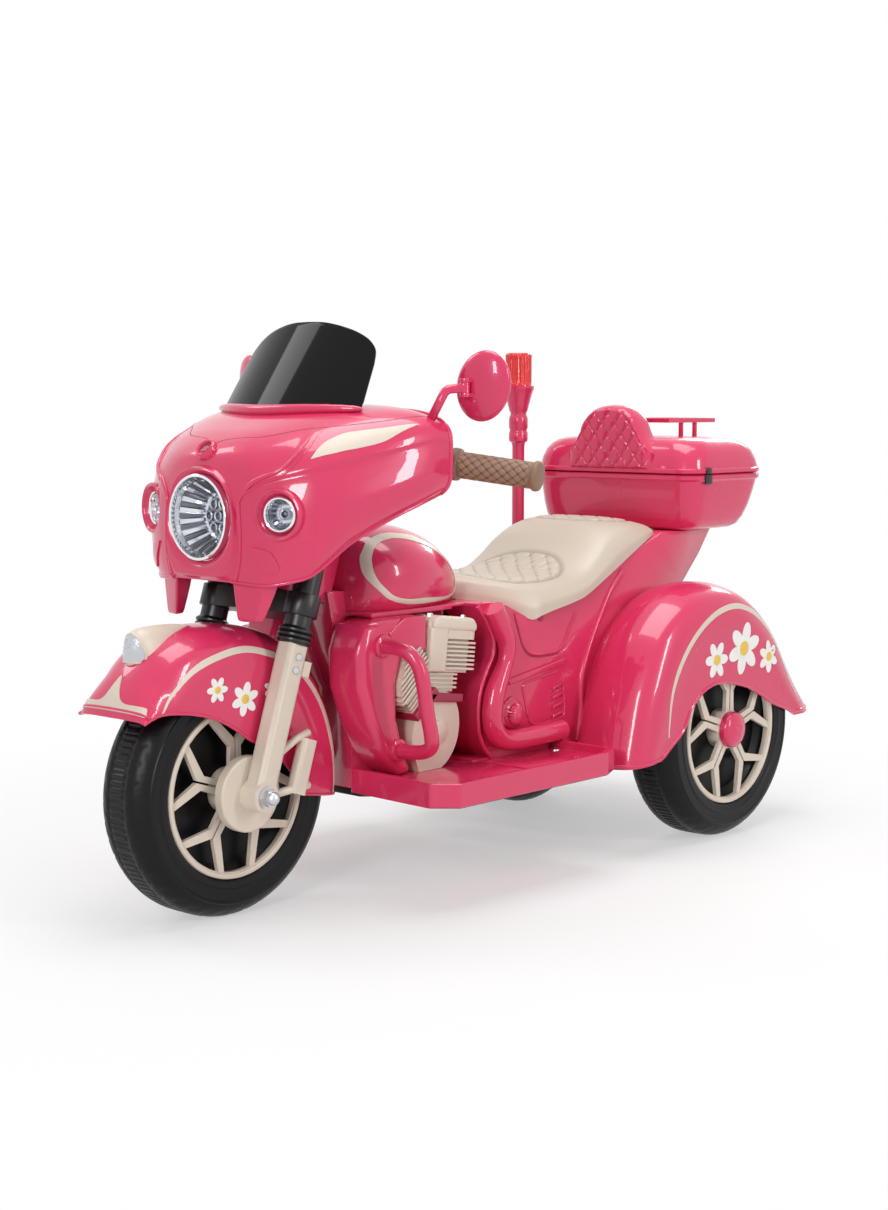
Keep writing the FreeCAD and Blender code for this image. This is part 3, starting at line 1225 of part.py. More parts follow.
def main():
    build_wheels()
    build_axles()
    build_fork()
    build_handlebar()
    build_front_fender()
    build_rear_fenders()
    build_fairing()
    build_body()
    build_tray()
    build_tank()
    build_engine()
    build_boards()
    build_seat()
    build_power()
    build_trunk()
    move = set_down()
    print("moved by", move, "steering foot", STEER_FOOT + move)
    os.makedirs("parts", exist_ok=True)
    for name, solids in sorted(NODES.items()):
        shape = solids[0] if len(solids) == 1 else Part.makeCompound(solids)
        shape = shape.copy()
        shape.translate(move)
        shape.exportStep(f"parts/{name}.step")
        good = all(s.isValid() and s.Volume > 0 for s in solids)
        b = shape.BoundBox
        print(f"{name}: {len(solids)} solids, valid {good}, {shape.Volume / 1000:.1f} cm3, "
              f"x {b.XMin:.0f}..{b.XMax:.0f} y {b.YMin:.0f}..{b.YMax:.0f} z {b.ZMin:.0f}..{b.ZMax:.0f}")


main()
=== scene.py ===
import bisect
import json
from math import atan2, copysign, cos, degrees, dist, exp, hypot, pi, radians, sin

import bpy
from mathutils import Matrix, Vector

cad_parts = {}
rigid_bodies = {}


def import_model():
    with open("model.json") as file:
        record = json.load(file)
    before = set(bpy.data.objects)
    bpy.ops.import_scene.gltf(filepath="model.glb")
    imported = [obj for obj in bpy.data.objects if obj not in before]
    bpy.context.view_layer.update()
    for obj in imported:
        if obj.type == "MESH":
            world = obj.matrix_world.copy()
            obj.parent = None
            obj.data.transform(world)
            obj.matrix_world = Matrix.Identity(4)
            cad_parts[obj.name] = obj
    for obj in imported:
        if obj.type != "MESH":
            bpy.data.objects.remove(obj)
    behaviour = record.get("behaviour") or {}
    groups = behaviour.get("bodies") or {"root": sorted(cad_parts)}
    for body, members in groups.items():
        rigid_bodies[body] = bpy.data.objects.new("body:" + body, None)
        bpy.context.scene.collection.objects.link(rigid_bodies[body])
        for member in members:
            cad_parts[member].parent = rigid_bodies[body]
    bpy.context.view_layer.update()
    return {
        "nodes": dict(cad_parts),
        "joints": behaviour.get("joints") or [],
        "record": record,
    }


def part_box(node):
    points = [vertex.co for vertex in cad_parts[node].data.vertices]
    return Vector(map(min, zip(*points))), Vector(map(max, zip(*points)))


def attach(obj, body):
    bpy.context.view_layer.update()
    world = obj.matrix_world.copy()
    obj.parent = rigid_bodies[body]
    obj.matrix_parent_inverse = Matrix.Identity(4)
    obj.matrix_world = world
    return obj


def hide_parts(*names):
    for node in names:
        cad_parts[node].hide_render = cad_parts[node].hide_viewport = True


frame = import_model()

bl_info = {
    "name": "Battery ride-on trike",
    "version": (1, 0, 0),
    "blender": (4, 5, 0),
    "location": "3D View > Sidebar > Trike",
    "description": "Dresses the packed trike: moulded panels, wheels, lamps, seat, trunk and a plain studio",
    "category": "Object",
}

# The source drawing, in millimetres, has its axles at the same distance either side of zero.
AXLE_AT = {joint["name"]: Vector(joint["pos_m"]) for joint in frame["joints"] if "pos_m" in joint}
DRAWN_AXLE_Y = 378.0
SHIFT = AXLE_AT["front_wheel_spin"].y * 1000 + DRAWN_AXLE_Y
FRONT_AXLE = (-DRAWN_AXLE_Y, 150.0)
REAR_AXLE = (DRAWN_AXLE_Y, 150.0)
TYRE_RADIUS = 150.0
# How far the rear wheels stand from the middle
WHEEL_X = 175
# The loaded parts bring materials named after their slots, so the finishes made here are named apart.
FINISH_PREFIX = "Trike "
# The slot of each finish that has another name than its slot
SLOT_OF = {
    "gloss_pink": "pink_plastic", "deep_pink": "pink_plastic", "print_white": "pink_plastic",
    "print_yellow": "pink_plastic", "satin_beige": "beige_plastic", "seat_beige": "seat_plastic",
    "tyre_black": "tyre_plastic", "chrome": "reflector", "lamp_bowl": "reflector", "lamp_dark": "reflector",
    "mirror_glass": "reflector",
}
# Points closer than this, in metres, are one.
TOUCHING = 0.00001


class TrikePaint(bpy.types.PropertyGroup):
    """Colours that a user would change."""

    pink: bpy.props.FloatVectorProperty(
        name="Body pink", description="Gloss colour of the moulded body", subtype="COLOR",
        default=(0.665, 0.030, 0.113), min=0, max=1)
    beige: bpy.props.FloatVectorProperty(
        name="Trim beige", description="Satin colour of rims, fork legs, engine and stripes", subtype="COLOR",
        default=(0.69, 0.60, 0.50), min=0, max=1)
    seat: bpy.props.FloatVectorProperty(
        name="Seat beige", description="Colour of the moulded saddle", subtype="COLOR",
        default=(0.60, 0.515, 0.42), min=0, max=1)
    black: bpy.props.FloatVectorProperty(
        name="Black plastic", description="Colour of fork tubes and small black parts", subtype="COLOR",
        default=(0.008, 0.008, 0.009), min=0, max=1)
    tyre: bpy.props.FloatVectorProperty(
        name="Tyre black", description="Colour of the blow-moulded tyres", subtype="COLOR",
        default=(0.0035, 0.0035, 0.004), min=0, max=1)
    grip: bpy.props.FloatVectorProperty(
        name="Grip tan", description="Colour of the carved grips", subtype="COLOR",
        default=(0.30, 0.165, 0.10), min=0, max=1)
    red: bpy.props.FloatVectorProperty(
        name="Beacon red", description="Colour of the beacon's lens", subtype="COLOR",
        default=(0.72, 0.008, 0.012), min=0, max=1)


class TrikeSizes(bpy.types.PropertyGroup):
    """Sizes that a user would change."""

    wall: bpy.props.FloatProperty(
        name="Panel wall", description="Wall of the moulded panels", unit="LENGTH",
        default=0.0032, min=0.001, max=0.006)
    stripe: bpy.props.FloatProperty(
        name="Stripe width", description="Width of the beige fender stripes", unit="LENGTH",
        default=0.0075, min=0.002, max=0.02)
    tread: bpy.props.FloatProperty(
        name="Tread depth", description="Depth of the grooves in the tyres", unit="LENGTH",
        default=0.0022, min=0.0005, max=0.005)
    quilt: bpy.props.FloatProperty(
        name="Quilt size", description="Side of one diamond of the quilted relief", unit="LENGTH",
        default=0.028, min=0.01, max=0.05)
    floor: bpy.props.FloatProperty(
        name="Floor size", description="Side of the studio floor", unit="LENGTH",
        default=14.0, min=4.0, max=40.0)


# Points, tables and lines

def at(x, y, z):
    """A point of the drawing in millimetres, as a point of the frame in metres."""
    return Vector((x, y + SHIFT, z)) / 1000


def upright(x, pairs):
    """Points at one X from pairs of Y and Z."""
    return [at(x, y, z) for y, z in pairs]


def eased(table, key):
    """The values of a table of stations at a key between them, on a smooth curve."""
    keys = [row[0] for row in table]
    key = min(max(key, keys[0]), keys[-1])
    k = min(max(bisect.bisect_right(keys, key) - 1, 0), len(keys) - 2)
    here, after = table[k], table[k + 1]
    before = table[max(k - 1, 0)]
    beyond = table[min(k + 2, len(table) - 1)]
    span = after[0] - here[0]
    t = (key - here[0]) / span
    values = []
    for i in range(1, len(here)):
        slope_in = (after[i] - before[i]) / (after[0] - before[0]) * span
        slope_out = (beyond[i] - here[i]) / (beyond[0] - here[0]) * span
        bend = here[i] * (2 * t ** 3 - 3 * t ** 2 + 1) + slope_in * (t ** 3 - 2 * t ** 2 + t)
        values.append(bend + after[i] * (3 * t ** 2 - 2 * t ** 3) + slope_out * (t ** 3 - t ** 2))
    return values


def chord_table(points):
    """Points with their distance along the line in front, ready for eased."""
    rows = [(0.0, *points[0])]
    for a, b in zip(points, points[1:]):
        rows.append((rows[-1][0] + dist(a, b), *b))
    return rows


def smooth_line(points, count, closed=False):
    """Points spaced evenly along a smooth line through the given ones."""
    points = [tuple(p) for p in points]
    lap = len(points)
    if closed:
        points = points[-2:] + points + points[:3]
    table = chord_table(points)
    first, last = (table[2][0], table[2 + lap][0]) if closed else (table[0][0], table[-1][0])
    steps = count if closed else count - 1
    return [tuple(eased(table, first + (last - first) * k / steps)) for k in range(count)]


def fade(value, low, high):
    """0 below low, 1 above high, smooth between."""
    t = min(max((value - low) / (high - low), 0.0), 1.0)
    return t * t * (3 - 2 * t)


def quilt_height(x, y, side):
    """Relief of diamond quilting from 0 in the stitch lines to 1 on the puffs."""
    p, q = (x + y) / side, (x - y) / side
    return min(1.0, 1.6 * (abs(sin(pi * p)) * abs(sin(pi * q))) ** 0.5)


# Modelling

def only(piece):
    """Makes one piece the only selected and active object."""
    bpy.ops.object.select_all(action="DESELECT")
    piece.select_set(True)
    bpy.context.view_layer.objects.active = piece


def started(name):
    """Names the primitive that was just added."""
    piece = bpy.context.object
    piece.name = name
    piece.data.name = name
    return piece


def formed_sheet(name, columns, rows, place, closed=False):
    """A grid primitive whose points go to place(column, row). A closed one has its touching edges merged."""
    bpy.ops.object.select_all(action="DESELECT")
    bpy.ops.mesh.primitive_grid_add(x_subdivisions=columns, y_subdivisions=rows, size=2, location=(0, 0, 0))
    piece = started(name)
    if len(piece.data.vertices) != (columns + 1) * (rows + 1):
        raise RuntimeError(f"the grid for {name} has {len(piece.data.vertices)} points")
    for vertex in piece.data.vertices:
        column = round((vertex.co.x + 1) / 2 * columns)
        row = round((vertex.co.y + 1) / 2 * rows)
        vertex.co = place(column, row)
    if closed:
        merge_points(piece, outwards=True)
    return piece


def merge_points(piece, outwards=False):
    """Merges touching points, and turns all faces outwards if that is asked for."""
    only(piece)
    bpy.ops.object.mode_set(mode="EDIT")
    bpy.ops.mesh.select_all(action="SELECT")
    bpy.ops.mesh.remove_doubles(threshold=TOUCHING)
    if outwards:
        bpy.ops.mesh.normals_make_consistent(inside=False)
    bpy.ops.object.mode_set(mode="OBJECT")


def face_away(piece, inside):
    """Turns an open sheet's faces away from a point inside it."""
    total = 0.0
    for face in piece.data.polygons:
        total += face.normal.dot(face.center - inside) * face.area
    if total < 0:
        only(piece)
        bpy.ops.object.mode_set(mode="EDIT")
        bpy.ops.mesh.select_all(action="SELECT")
        bpy.ops.mesh.flip_normals()
        bpy.ops.object.mode_set(mode="OBJECT")


def modify(piece, kind, **settings):
    """Adds a modifier with these settings and applies it."""
    only(piece)
    bpy.ops.object.modifier_add(type=kind)
    modifier = piece.modifiers[-1]
    for key, value in settings.items():
        setattr(modifier, key, value)
    bpy.ops.object.modifier_apply(modifier=modifier.name)


def thicken(piece, wall):
    """Gives an open sheet a wall on its inner side."""
    modify(piece, "SOLIDIFY", thickness=wall, offset=-1.0, use_even_offset=False)


def round_edges(piece, width, segments=3, angle=35):
    """Rounds the edges that are sharper than an angle."""
    modify(piece, "BEVEL", width=width, segments=segments, limit_method="ANGLE",
           angle_limit=radians(angle), use_clamp_overlap=True)


def joined(name, pieces):
    """One object from several."""
    bpy.ops.object.select_all(action="DESELECT")
    for piece in pieces:
        piece.select_set(True)
    bpy.context.view_layer.objects.active = pieces[0]
    if len(pieces) > 1:
        bpy.ops.object.join()
    return started(name)


def mirrored(piece, name):
    """A copy on the other side of the trike, with its own mesh."""
    only(piece)
    bpy.ops.object.duplicate()
    copy = started(name)
    copy.data.transform(Matrix.Scale(-1, 4, (1, 0, 0)))
    copy.data.flip_normals()
    return copy


def frame_about(axis):
    """Two directions square to an axis and to each other."""
    axis = Vector(axis).normalized()
    helper = Vector((1, 0, 0)) if abs(axis.x) < 0.9 else Vector((0, 0, 1))
    first = axis.cross(helper).normalized()
    return axis, first, axis.cross(first)


def turned(name, profile, foot, axis, sides=48, relief=None):
    """A shape turned about an axis from (radius, along) points in millimetres. Relief may change a radius."""
    axis, first, second = frame_about(axis)
    foot = Vector(foot)

    def place(column, row):
        radius, along = profile[row]
        angle = 2 * pi * (column % sides) / sides
        if relief:
            radius += relief(angle, row, radius)
        out = first * cos(angle) + second * sin(angle)
        return foot + (axis * along + out * radius) / 1000

    return formed_sheet(name, sides, len(profile) - 1, place, closed=True)


def tube(name, line, radius, sides=14, closed=False, flat=1.0):
    """A tube along a line of frame points, with rounded-off closed ends. Radius may vary along the line."""
    line = [Vector(p) for p in line]
    count = len(line)
    rings = []
    normal = None
    for k, point in enumerate(line):
        ahead = line[(k + 1) % count] if closed or k + 1 < count else point
        back = line[k - 1] if closed or k else point
        tangent = (ahead - back).normalized()
        if normal is None:
            normal = frame_about(tangent)[1]
        normal = (normal - tangent * normal.dot(tangent)).normalized()
        size = radius(k / (count - 1)) if callable(radius) else radius
        rings.append((point, normal.copy(), tangent.cross(normal), size / 1000))
    if closed:
        rings.append(rings[0])
    else:
        first, last = rings[0], rings[-1]
        rings = [(first[0], first[1], first[2], 0.0)] + rings + [(last[0], last[1], last[2], 0.0)]

    def place(column, row):
        point, across, up, size = rings[row]
        angle = 2 * pi * (column % sides) / sides
        return point + across * cos(angle) * size + up * sin(angle) * size * flat

    return formed_sheet(name, sides, len(rings) - 1, place, closed=True)


def slab(name, outline, depth, edge=0.0, segments=3):
    """A plate from an outline of frame points, pushed out by a depth vector and rounded along its edges."""
    bpy.ops.object.select_all(action="DESELECT")
    bpy.ops.mesh.primitive_circle_add(vertices=len(outline), radius=1, fill_type="NGON", location=(0, 0, 0))
    piece = started(name)
    for vertex, point in zip(piece.data.vertices, outline):
        vertex.co = point
    bpy.ops.object.mode_set(mode="EDIT")
    bpy.ops.mesh.select_all(action="SELECT")
    bpy.ops.mesh.extrude_region_move(TRANSFORM_OT_translate={"value": Vector(depth) / 1000})
    bpy.ops.mesh.select_all(action="SELECT")
    bpy.ops.mesh.normals_make_consistent(inside=False)
    bpy.ops.object.mode_set(mode="OBJECT")
    if edge:
        round_edges(piece, edge / 1000, segments)
    return piece


def strip_on(name, skin, rows, inside, across=4, lift=0.5, depth=1.2):
    """A thin trim on a skin. Each row gives the skin's first value and the two ends of its second value."""
    small = 0.01

    def place(column, row):
        p, low, high = rows[column]
        q = low + (high - low) * row / across
        here = skin(p, q)
        along = skin(p + 10 * small, q) - skin(p - 10 * small, q)
        sideways = skin(p, q + small) - skin(p, q - small)
        normal = along.cross(sideways).normalized()
        if normal.dot(here - inside) < 0:
            normal = -normal
        return here + normal * lift / 1000

    piece = formed_sheet(name, len(rows) - 1, across, place)
    face_away(piece, inside)
    thicken(piece, depth / 1000)
    return piece


def finish_piece(piece, body, finish, replaced=(), sharp=35, slot=None):
    """Shades a piece, gives it its finish and sets it on the body that carries it."""
    slot = slot or SLOT_OF.get(finish, finish)
    only(piece)
    bpy.ops.object.shade_smooth_by_angle(angle=radians(sharp))
    piece.data.materials.clear()
    piece.data.materials.append(bpy.data.materials[FINISH_PREFIX + finish])
    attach(piece, body)
    if replaced:
        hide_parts(*replaced)
    return piece


def finish_both_sides(left, body, finish):
    """Finishes a piece of the left side and its copy on the right."""
    right = mirrored(left, left.name.replace("left", "right"))
    for piece in (left, right):
        finish_piece(piece, body, finish)


def finish_group(name, pieces, body, finish, replaced=(), sharp=35):
    """Joins pieces of the left side with their copies on the right, and finishes them as one."""
    copies = [mirrored(piece, "right_copy") for piece in pieces]
    return finish_piece(joined(name, pieces + copies), body, finish, replaced, sharp)


# Finishes

def node_group(name, inputs, outputs):
    """An empty shader node group with named sockets."""
    group = bpy.data.node_groups.new(name, "ShaderNodeTree")
    for label, kind, value in inputs:
        socket = group.interface.new_socket(name=label, in_out="INPUT", socket_type=kind)
        socket.default_value = value
    for label, kind in outputs:
        group.interface.new_socket(name=label, in_out="OUTPUT", socket_type=kind)
    return group, group.nodes.new("NodeGroupInput"), group.nodes.new("NodeGroupOutput")


def noise_in(group, scale_from, detail):
    """Noise on Object coordinates, scaled by a group input."""
    coords = group.nodes.new("ShaderNodeTexCoord")
    noise = group.nodes.new("ShaderNodeTexNoise")
    noise.inputs["Detail"].default_value = detail
    group.links.new(coords.outputs["Object"], noise.inputs["Vector"])
    group.links.new(scale_from, noise.inputs["Scale"])
    return noise.outputs["Fac"]


def math_in(group, operation, first, second):
    """One sum in a group. Each side is a socket or a number."""
    node = group.nodes.new("ShaderNodeMath")
    node.operation = operation
    for socket, value in zip(node.inputs, (first, second)):
        if isinstance(value, (int, float)):
            socket.default_value = value
        else:
            group.links.new(value, socket)
    return node.outputs[0]


def make_tone_drift():
    """Moulded colour that drifts a little lighter and darker, with fine pigment specks."""
    group, given, out = node_group(
        "Tone Drift",
        [("Color", "NodeSocketColor", (0.5, 0.5, 0.5, 1)), ("Drift", "NodeSocketFloat", 0.06),
         ("Scale", "NodeSocketFloat", 5.0), ("Specks", "NodeSocketFloat", 0.03)],
        [("Color", "NodeSocketColor")])
    broad = noise_in(group, given.outputs["Scale"], 3)
    speck_scale = math_in(group, "MULTIPLY", given.outputs["Scale"], 160)
    fine = noise_in(group, speck_scale, 1)
    drift = math_in(group, "MULTIPLY", math_in(group, "SUBTRACT", broad, 0.5), given.outputs["Drift"])
    specks = math_in(group, "MULTIPLY", math_in(group, "SUBTRACT", fine, 0.5), given.outputs["Specks"])
    factor = math_in(group, "ADD", math_in(group, "ADD", drift, specks), 1.0)
    scale = group.nodes.new("ShaderNodeVectorMath")
    scale.operation = "SCALE"
    group.links.new(given.outputs["Color"], scale.inputs[0])
    group.links.new(factor, scale.inputs["Scale"])
    group.links.new(scale.outputs[0], out.inputs["Color"])
    return group


def make_gloss_drift():
    """Roughness that varies over the surface, as on handled plastic."""
    group, given, out = node_group(
        "Gloss Drift",
        [("Roughness", "NodeSocketFloat", 0.3), ("Drift", "NodeSocketFloat", 0.1),
         ("Scale", "NodeSocketFloat", 14.0)],
        [("Roughness", "NodeSocketFloat")])
    broad = noise_in(group, given.outputs["Scale"], 4)
    drift = math_in(group, "MULTIPLY", math_in(group, "SUBTRACT", broad, 0.5), given.outputs["Drift"])
    rough = math_in(group, "ADD", given.outputs["Roughness"], drift)
    group.links.new(math_in(group, "MAXIMUM", rough, 0.02), out.inputs["Roughness"])
    return group


def make_moulded_skin():
    """The fine uneven skin of a moulding, as a normal."""
    group, given, out = node_group(
        "Moulded Skin",
        [("Scale", "NodeSocketFloat", 400.0), ("Strength", "NodeSocketFloat", 0.1),
         ("Depth", "NodeSocketFloat", 0.0002)],
        [("Normal", "NodeSocketVector")])
    grain = noise_in(group, given.outputs["Scale"], 3)
    bump = group.nodes.new("ShaderNodeBump")
    group.links.new(given.outputs["Strength"], bump.inputs["Strength"])
    group.links.new(given.outputs["Depth"], bump.inputs["Distance"])
    group.links.new(grain, bump.inputs["Height"])
    group.links.new(bump.outputs["Normal"], out.inputs["Normal"])
    return group


def fill(node, values):
    """Sets a node's inputs by label."""
    for label, value in values.items():
        node.inputs[label].default_value = value


def use_group(tree, name, **values):
    """Places a shared effect in a material with its own values."""
    node = tree.nodes.new("ShaderNodeGroup")
    node.node_tree = bpy.data.node_groups[name]
    fill(node, values)
    return node


def finish(name, colour, roughness, drift=0.05, specks=0.03, gloss=0.08, grain=(500, 0.08), plain=None):
    """A material with drifting colour, uneven gloss and a moulded skin. Plain holds other values."""
    material = bpy.data.materials.new(FINISH_PREFIX + name)
    material.use_nodes = True
    tree = material.node_tree
    shader = tree.nodes["Principled BSDF"]
    tone = use_group(tree, "Tone Drift", Color=(*colour, 1), Drift=drift, Specks=specks)
    shine = use_group(tree, "Gloss Drift", Roughness=roughness, Drift=gloss)
    skin = use_group(tree, "Moulded Skin", Scale=grain[0], Strength=grain[1])
    tree.links.new(tone.outputs["Color"], shader.inputs["Base Color"])
    tree.links.new(shine.outputs["Roughness"], shader.inputs["Roughness"])
    tree.links.new(skin.outputs["Normal"], shader.inputs["Normal"])
    fill(shader, plain or {})
    return material


def paint_shade_by_relief(material, painted_shade):
    """Paints shade into the recesses of a piece that carries a relief attribute."""
    tree = material.node_tree
    shader = tree.nodes["Principled BSDF"]
    light = shader.inputs["Base Color"].links[0].from_socket
    relief = tree.nodes.new("ShaderNodeAttribute")
    relief.attribute_name = "relief"
    mix = tree.nodes.new("ShaderNodeMix")
    mix.data_type = "RGBA"
    tree.links.new(relief.outputs["Fac"], mix.inputs["Factor"])
    # The colour of the painted shade, shown where the relief attribute is 0
    mix.inputs[6].default_value = (*painted_shade, 1)
    tree.links.new(light, mix.inputs[7])
    tree.links.new(mix.outputs[2], shader.inputs["Base Color"])


class TRIKE_OT_finishes(bpy.types.Operator):
    """Makes every finish and puts them on the parts that keep their source shape."""

    bl_idname = "trike.finishes"
    bl_label = "Finishes"

    def execute(self, context):
        paint = context.scene.trike_paint
        make_tone_drift()
        make_gloss_drift()
        make_moulded_skin()
        coat = {"Coat Weight": 0.7, "Coat Roughness": 0.025, "Specular IOR Level": 0.25}
        metal = {"Metallic": 1.0}
        finish("gloss_pink", paint.pink, 0.26, grain=(260, 0.04), plain=coat)
        # The body pink at half its brightness, a copy in painted shade for seams, recesses and parts under
        # others
        finish("deep_pink", [c * 0.5 for c in paint.pink], 0.35)
        finish("satin_beige", paint.beige, 0.36, grain=(700, 0.10))
        seat = finish("seat_beige", paint.seat, 0.38, grain=(900, 0.2))
        # Painted shade in the seat's stitch lines and edge groove, at 0.42 of its colour
        paint_shade_by_relief(seat, [c * 0.42 for c in paint.seat])
        finish("black_plastic", paint.black, 0.34, drift=0.3, grain=(700, 0.15))
        finish("tyre_black", paint.tyre, 0.36, drift=0.35, gloss=0.16, grain=(900, 0.35),
               plain={"Specular IOR Level": 0.22})
        finish("smoked_screen", (0.008, 0.008, 0.009), 0.06, drift=0.2, gloss=0.03, grain=(60, 0.02),
               plain={"IOR": 1.2})
        finish("chrome", (0.82, 0.82, 0.84), 0.09, drift=0.03, gloss=0.05, grain=(200, 0.03),
               plain=metal)
        finish("reflector", (0.56, 0.57, 0.61), 0.12, drift=0.05, gloss=0.06, grain=(300, 0.05),
               plain=metal)
        finish("lamp_bowl", (0.66, 0.67, 0.72), 0.10, drift=0.10, gloss=0.06, grain=(300, 0.05),
               plain=metal)
        # A darkened metal: the painted shade of the bowl's panels, and the bulbs' middles
        finish("lamp_dark", (0.16, 0.16, 0.19), 0.20, drift=0.2, plain={"Metallic": 0.6})
        finish("mirror_glass", (0.80, 0.83, 0.86), 0.03, drift=0.02, gloss=0.02, grain=(40, 0.01),
               plain=metal)
        finish("clear_lens", (0.96, 0.98, 1.0), 0.04, drift=0.02, specks=0, gloss=0.02, grain=(80, 0.03),
               plain={"Transmission Weight": 1.0, "IOR": 1.18})
        finish("red_lens", paint.red, 0.16, drift=0.12, gloss=0.06,
               plain={"IOR": 1.49, "Coat Weight": 0.3})
        grip = finish("tan_grip", paint.grip, 0.50, drift=0.16, grain=(600, 0.25))
        # Painted shade in the grips' carving, at 0.25 of their colour
        paint_shade_by_relief(grip, [c * 0.25 for c in paint.grip])
        finish("zinc_steel", (0.62, 0.63, 0.65), 0.28, drift=0.08, grain=(500, 0.12), plain=metal)
        finish("gear_nylon", (0.78, 0.76, 0.70), 0.45)
        finish("battery_case", (0.05, 0.055, 0.06), 0.5, drift=0.2, grain=(500, 0.2))
        finish("print_white", (0.86, 0.85, 0.83), 0.30)
        finish("print_yellow", (0.80, 0.52, 0.08), 0.30)

        shown_by = {
            "pink_plastic": "gloss_pink", "beige_plastic": "satin_beige", "seat_plastic": "seat_beige",
            "tyre_plastic": "tyre_black",
        }
        edges = {"battery": 0.002, "chassis_tray": 0.002, "front_rims": 0.0011, "rear_left_rim": 0.0011,
                 "rear_right_rim": 0.0011, "fork_legs": 0.002, "engine_castings": 0.0008,
                 "footboard_left": 0.0035, "footboard_right": 0.0035, "body_shell_left": 0.003,
                 "body_shell_right": 0.003, "brake_calipers": 0.0015, "dash_panel": 0.0015,
                 "luggage_rail": 0.0012, "steering_stem": 0.0012, "accelerator_pedal": 0.001,
                 "mirror_left": 0.001, "mirror_right": 0.001, "control_box": 0.002}
        for name, node in frame["nodes"].items():
            slots = [part["material_slot"] for part in frame["record"]["subparts"] if part["node"] == name]
            if len(slots) != 1:
                raise RuntimeError(f"node {name} has slots {slots}")
            shade = bpy.data.materials[FINISH_PREFIX + shown_by.get(slots[0], slots[0])]
            node.data.materials.clear()
            node.data.materials.append(shade)
            weld = node.modifiers.new("Weld", "WELD")
            weld.merge_threshold = 0.00002
            if name in edges:
                bevel = node.modifiers.new("Edges", "BEVEL")
                bevel.width = edges[name]
                bevel.segments = 2
                bevel.limit_method = "ANGLE"
                bevel.angle_limit = radians(40)
                bevel.harden_normals = True
        return {"FINISHED"}


# Wheels

TYRE_HALF = [
    (6.1, 44), (22, 44), (22, 14), (88, 14), (104.5, 27), (104.5, 36), (106.5, 37.6), (113, 38.4),
    (114, 39.2), (117, 39.2), (118, 38.6), (128, 39), (129, 39.8), (131.5, 39.6), (132.5, 38.4), (137, 36.6),
    (140.5, 34), (143.5, 31), (145.8, 28), (147.6, 25), (148.8, 22), (149.5, 19), (149.9, 16), (150, 13),
    (150, 10), (150, 7), (150, 4), (150, 1.5),
]
# The tread: ribs this far either side of the middle, then a plain groove, then the shoulders' grooves
RIB_HALF, GROOVE_HALF, SHOULDER_HALF = 10, 13, 35
# Only the tyre's outside, past this radius, has tread
TREAD_FROM = 136
RIB_COUNT = 120
SHOULDER_COUNT = 40
# Turned profiles: radius, then how far out from the wheel's middle
RIM_LIP = [(96, 35), (96.5, 36.6), (98, 37.6), (100, 37.8), (102, 37.2), (103, 35.6), (102.6, 34), (96, 34),
           (96, 35)]
HUB_DOME = [(0, 50.0), (6, 49.7), (7, 48.9), (8, 49.5), (13, 48.7), (18, 47.4), (22, 45.4), (24.2, 43),
            (25, 40), (25, 34.4), (22.6, 34.4), (22.6, 44.3), (0, 46.5)]


def tread_cut(angle, across, depth):
    """How deep the tread is cut: fine ribs round the middle, slanted grooves on the shoulders."""
    away = abs(across)
    if away <= RIB_HALF:
        return 0.55 * depth if (angle * RIB_COUNT / (2 * pi)) % 1 < 0.5 else 0.0
    if away <= GROOVE_HALF:
        return 0.5 * depth
    if away <= SHOULDER_HALF:
        wave = angle * SHOULDER_COUNT / (2 * pi) + 0.35 * sin(away * 0.3)
        return 0.32 * depth if wave % 1 < 0.22 else 0.0
    return 0.0


class TRIKE_OT_wheels(bpy.types.Operator):
    """Forms the treaded tyres and dresses the wheel faces."""

    bl_idname = "trike.wheels"
    bl_label = "Wheels"

    def execute(self, context):
        depth = context.scene.trike_sizes.tread * 1000
        full = TYRE_HALF + [(r, -x) for r, x in reversed(TYRE_HALF)] + [TYRE_HALF[0]]

        def cut(angle, row, radius):
            across = full[row][1]
            return -tread_cut(angle, across, depth) if radius > TREAD_FROM else 0.0

        places = [("front_tyre", "front_wheel", 0, FRONT_AXLE),
                  ("rear_left_tyre", "rear_left_wheel", WHEEL_X, REAR_AXLE),
                  ("rear_right_tyre", "rear_right_wheel", -WHEEL_X, REAR_AXLE)]
        for node, body, x, axle in places:
            foot = at(x, *axle)
            tyre = turned(f"{node}_treaded", full, foot, (1, 0, 0), sides=4 * RIB_COUNT, relief=cut)
            finish_piece(tyre, body, "tyre_black", [node], sharp=28)
        self.dress_faces()
        return {"FINISHED"}

    def dress_faces(self):
        """Rolled rim lips and domed hub caps."""
        faces = [("front_left", "front_wheel", 1, 0, FRONT_AXLE),
                 ("front_right", "front_wheel", -1, 0, FRONT_AXLE),
                 ("rear_left", "rear_left_wheel", 1, WHEEL_X, REAR_AXLE),
                 ("rear_right", "rear_right_wheel", -1, -WHEEL_X, REAR_AXLE)]
        for name, body, sign, x, axle in faces:
            ring = turned(f"{name}_rim_lip", RIM_LIP, at(x, *axle), (sign, 0, 0), sides=96)
            finish_piece(ring, body, "satin_beige")
            if name.startswith("rear"):
                cap = turned(f"{name}_domed_cap", HUB_DOME, at(x, *axle), (sign, 0, 0), sides=64)
                finish_piece(cap, body, "gloss_pink", [f"{name}_hubcap"])


# Fenders

FRONT_FENDER = [
    (33, 38, -33), (39, 46, -20), (47, 52, 6), (58, 56, 36), (74, 52, 68), (92, 45, 88), (112, 40, 92),
    (135, 30, 92), (158, 20, 86), (176, 15, 76), (189, 14, 66),
]
REAR_FENDER = [
    (-7, 86, -22), (5, 74, 24), (22, 69, 38), (42, 71, 55), (62, 68, 72), (80, 58, 83), (96, 48, 88),
    (112, 36, 88), (130, 26, 84), (148, 22, 74), (165, 34, 52), (179, 62, 0),
]
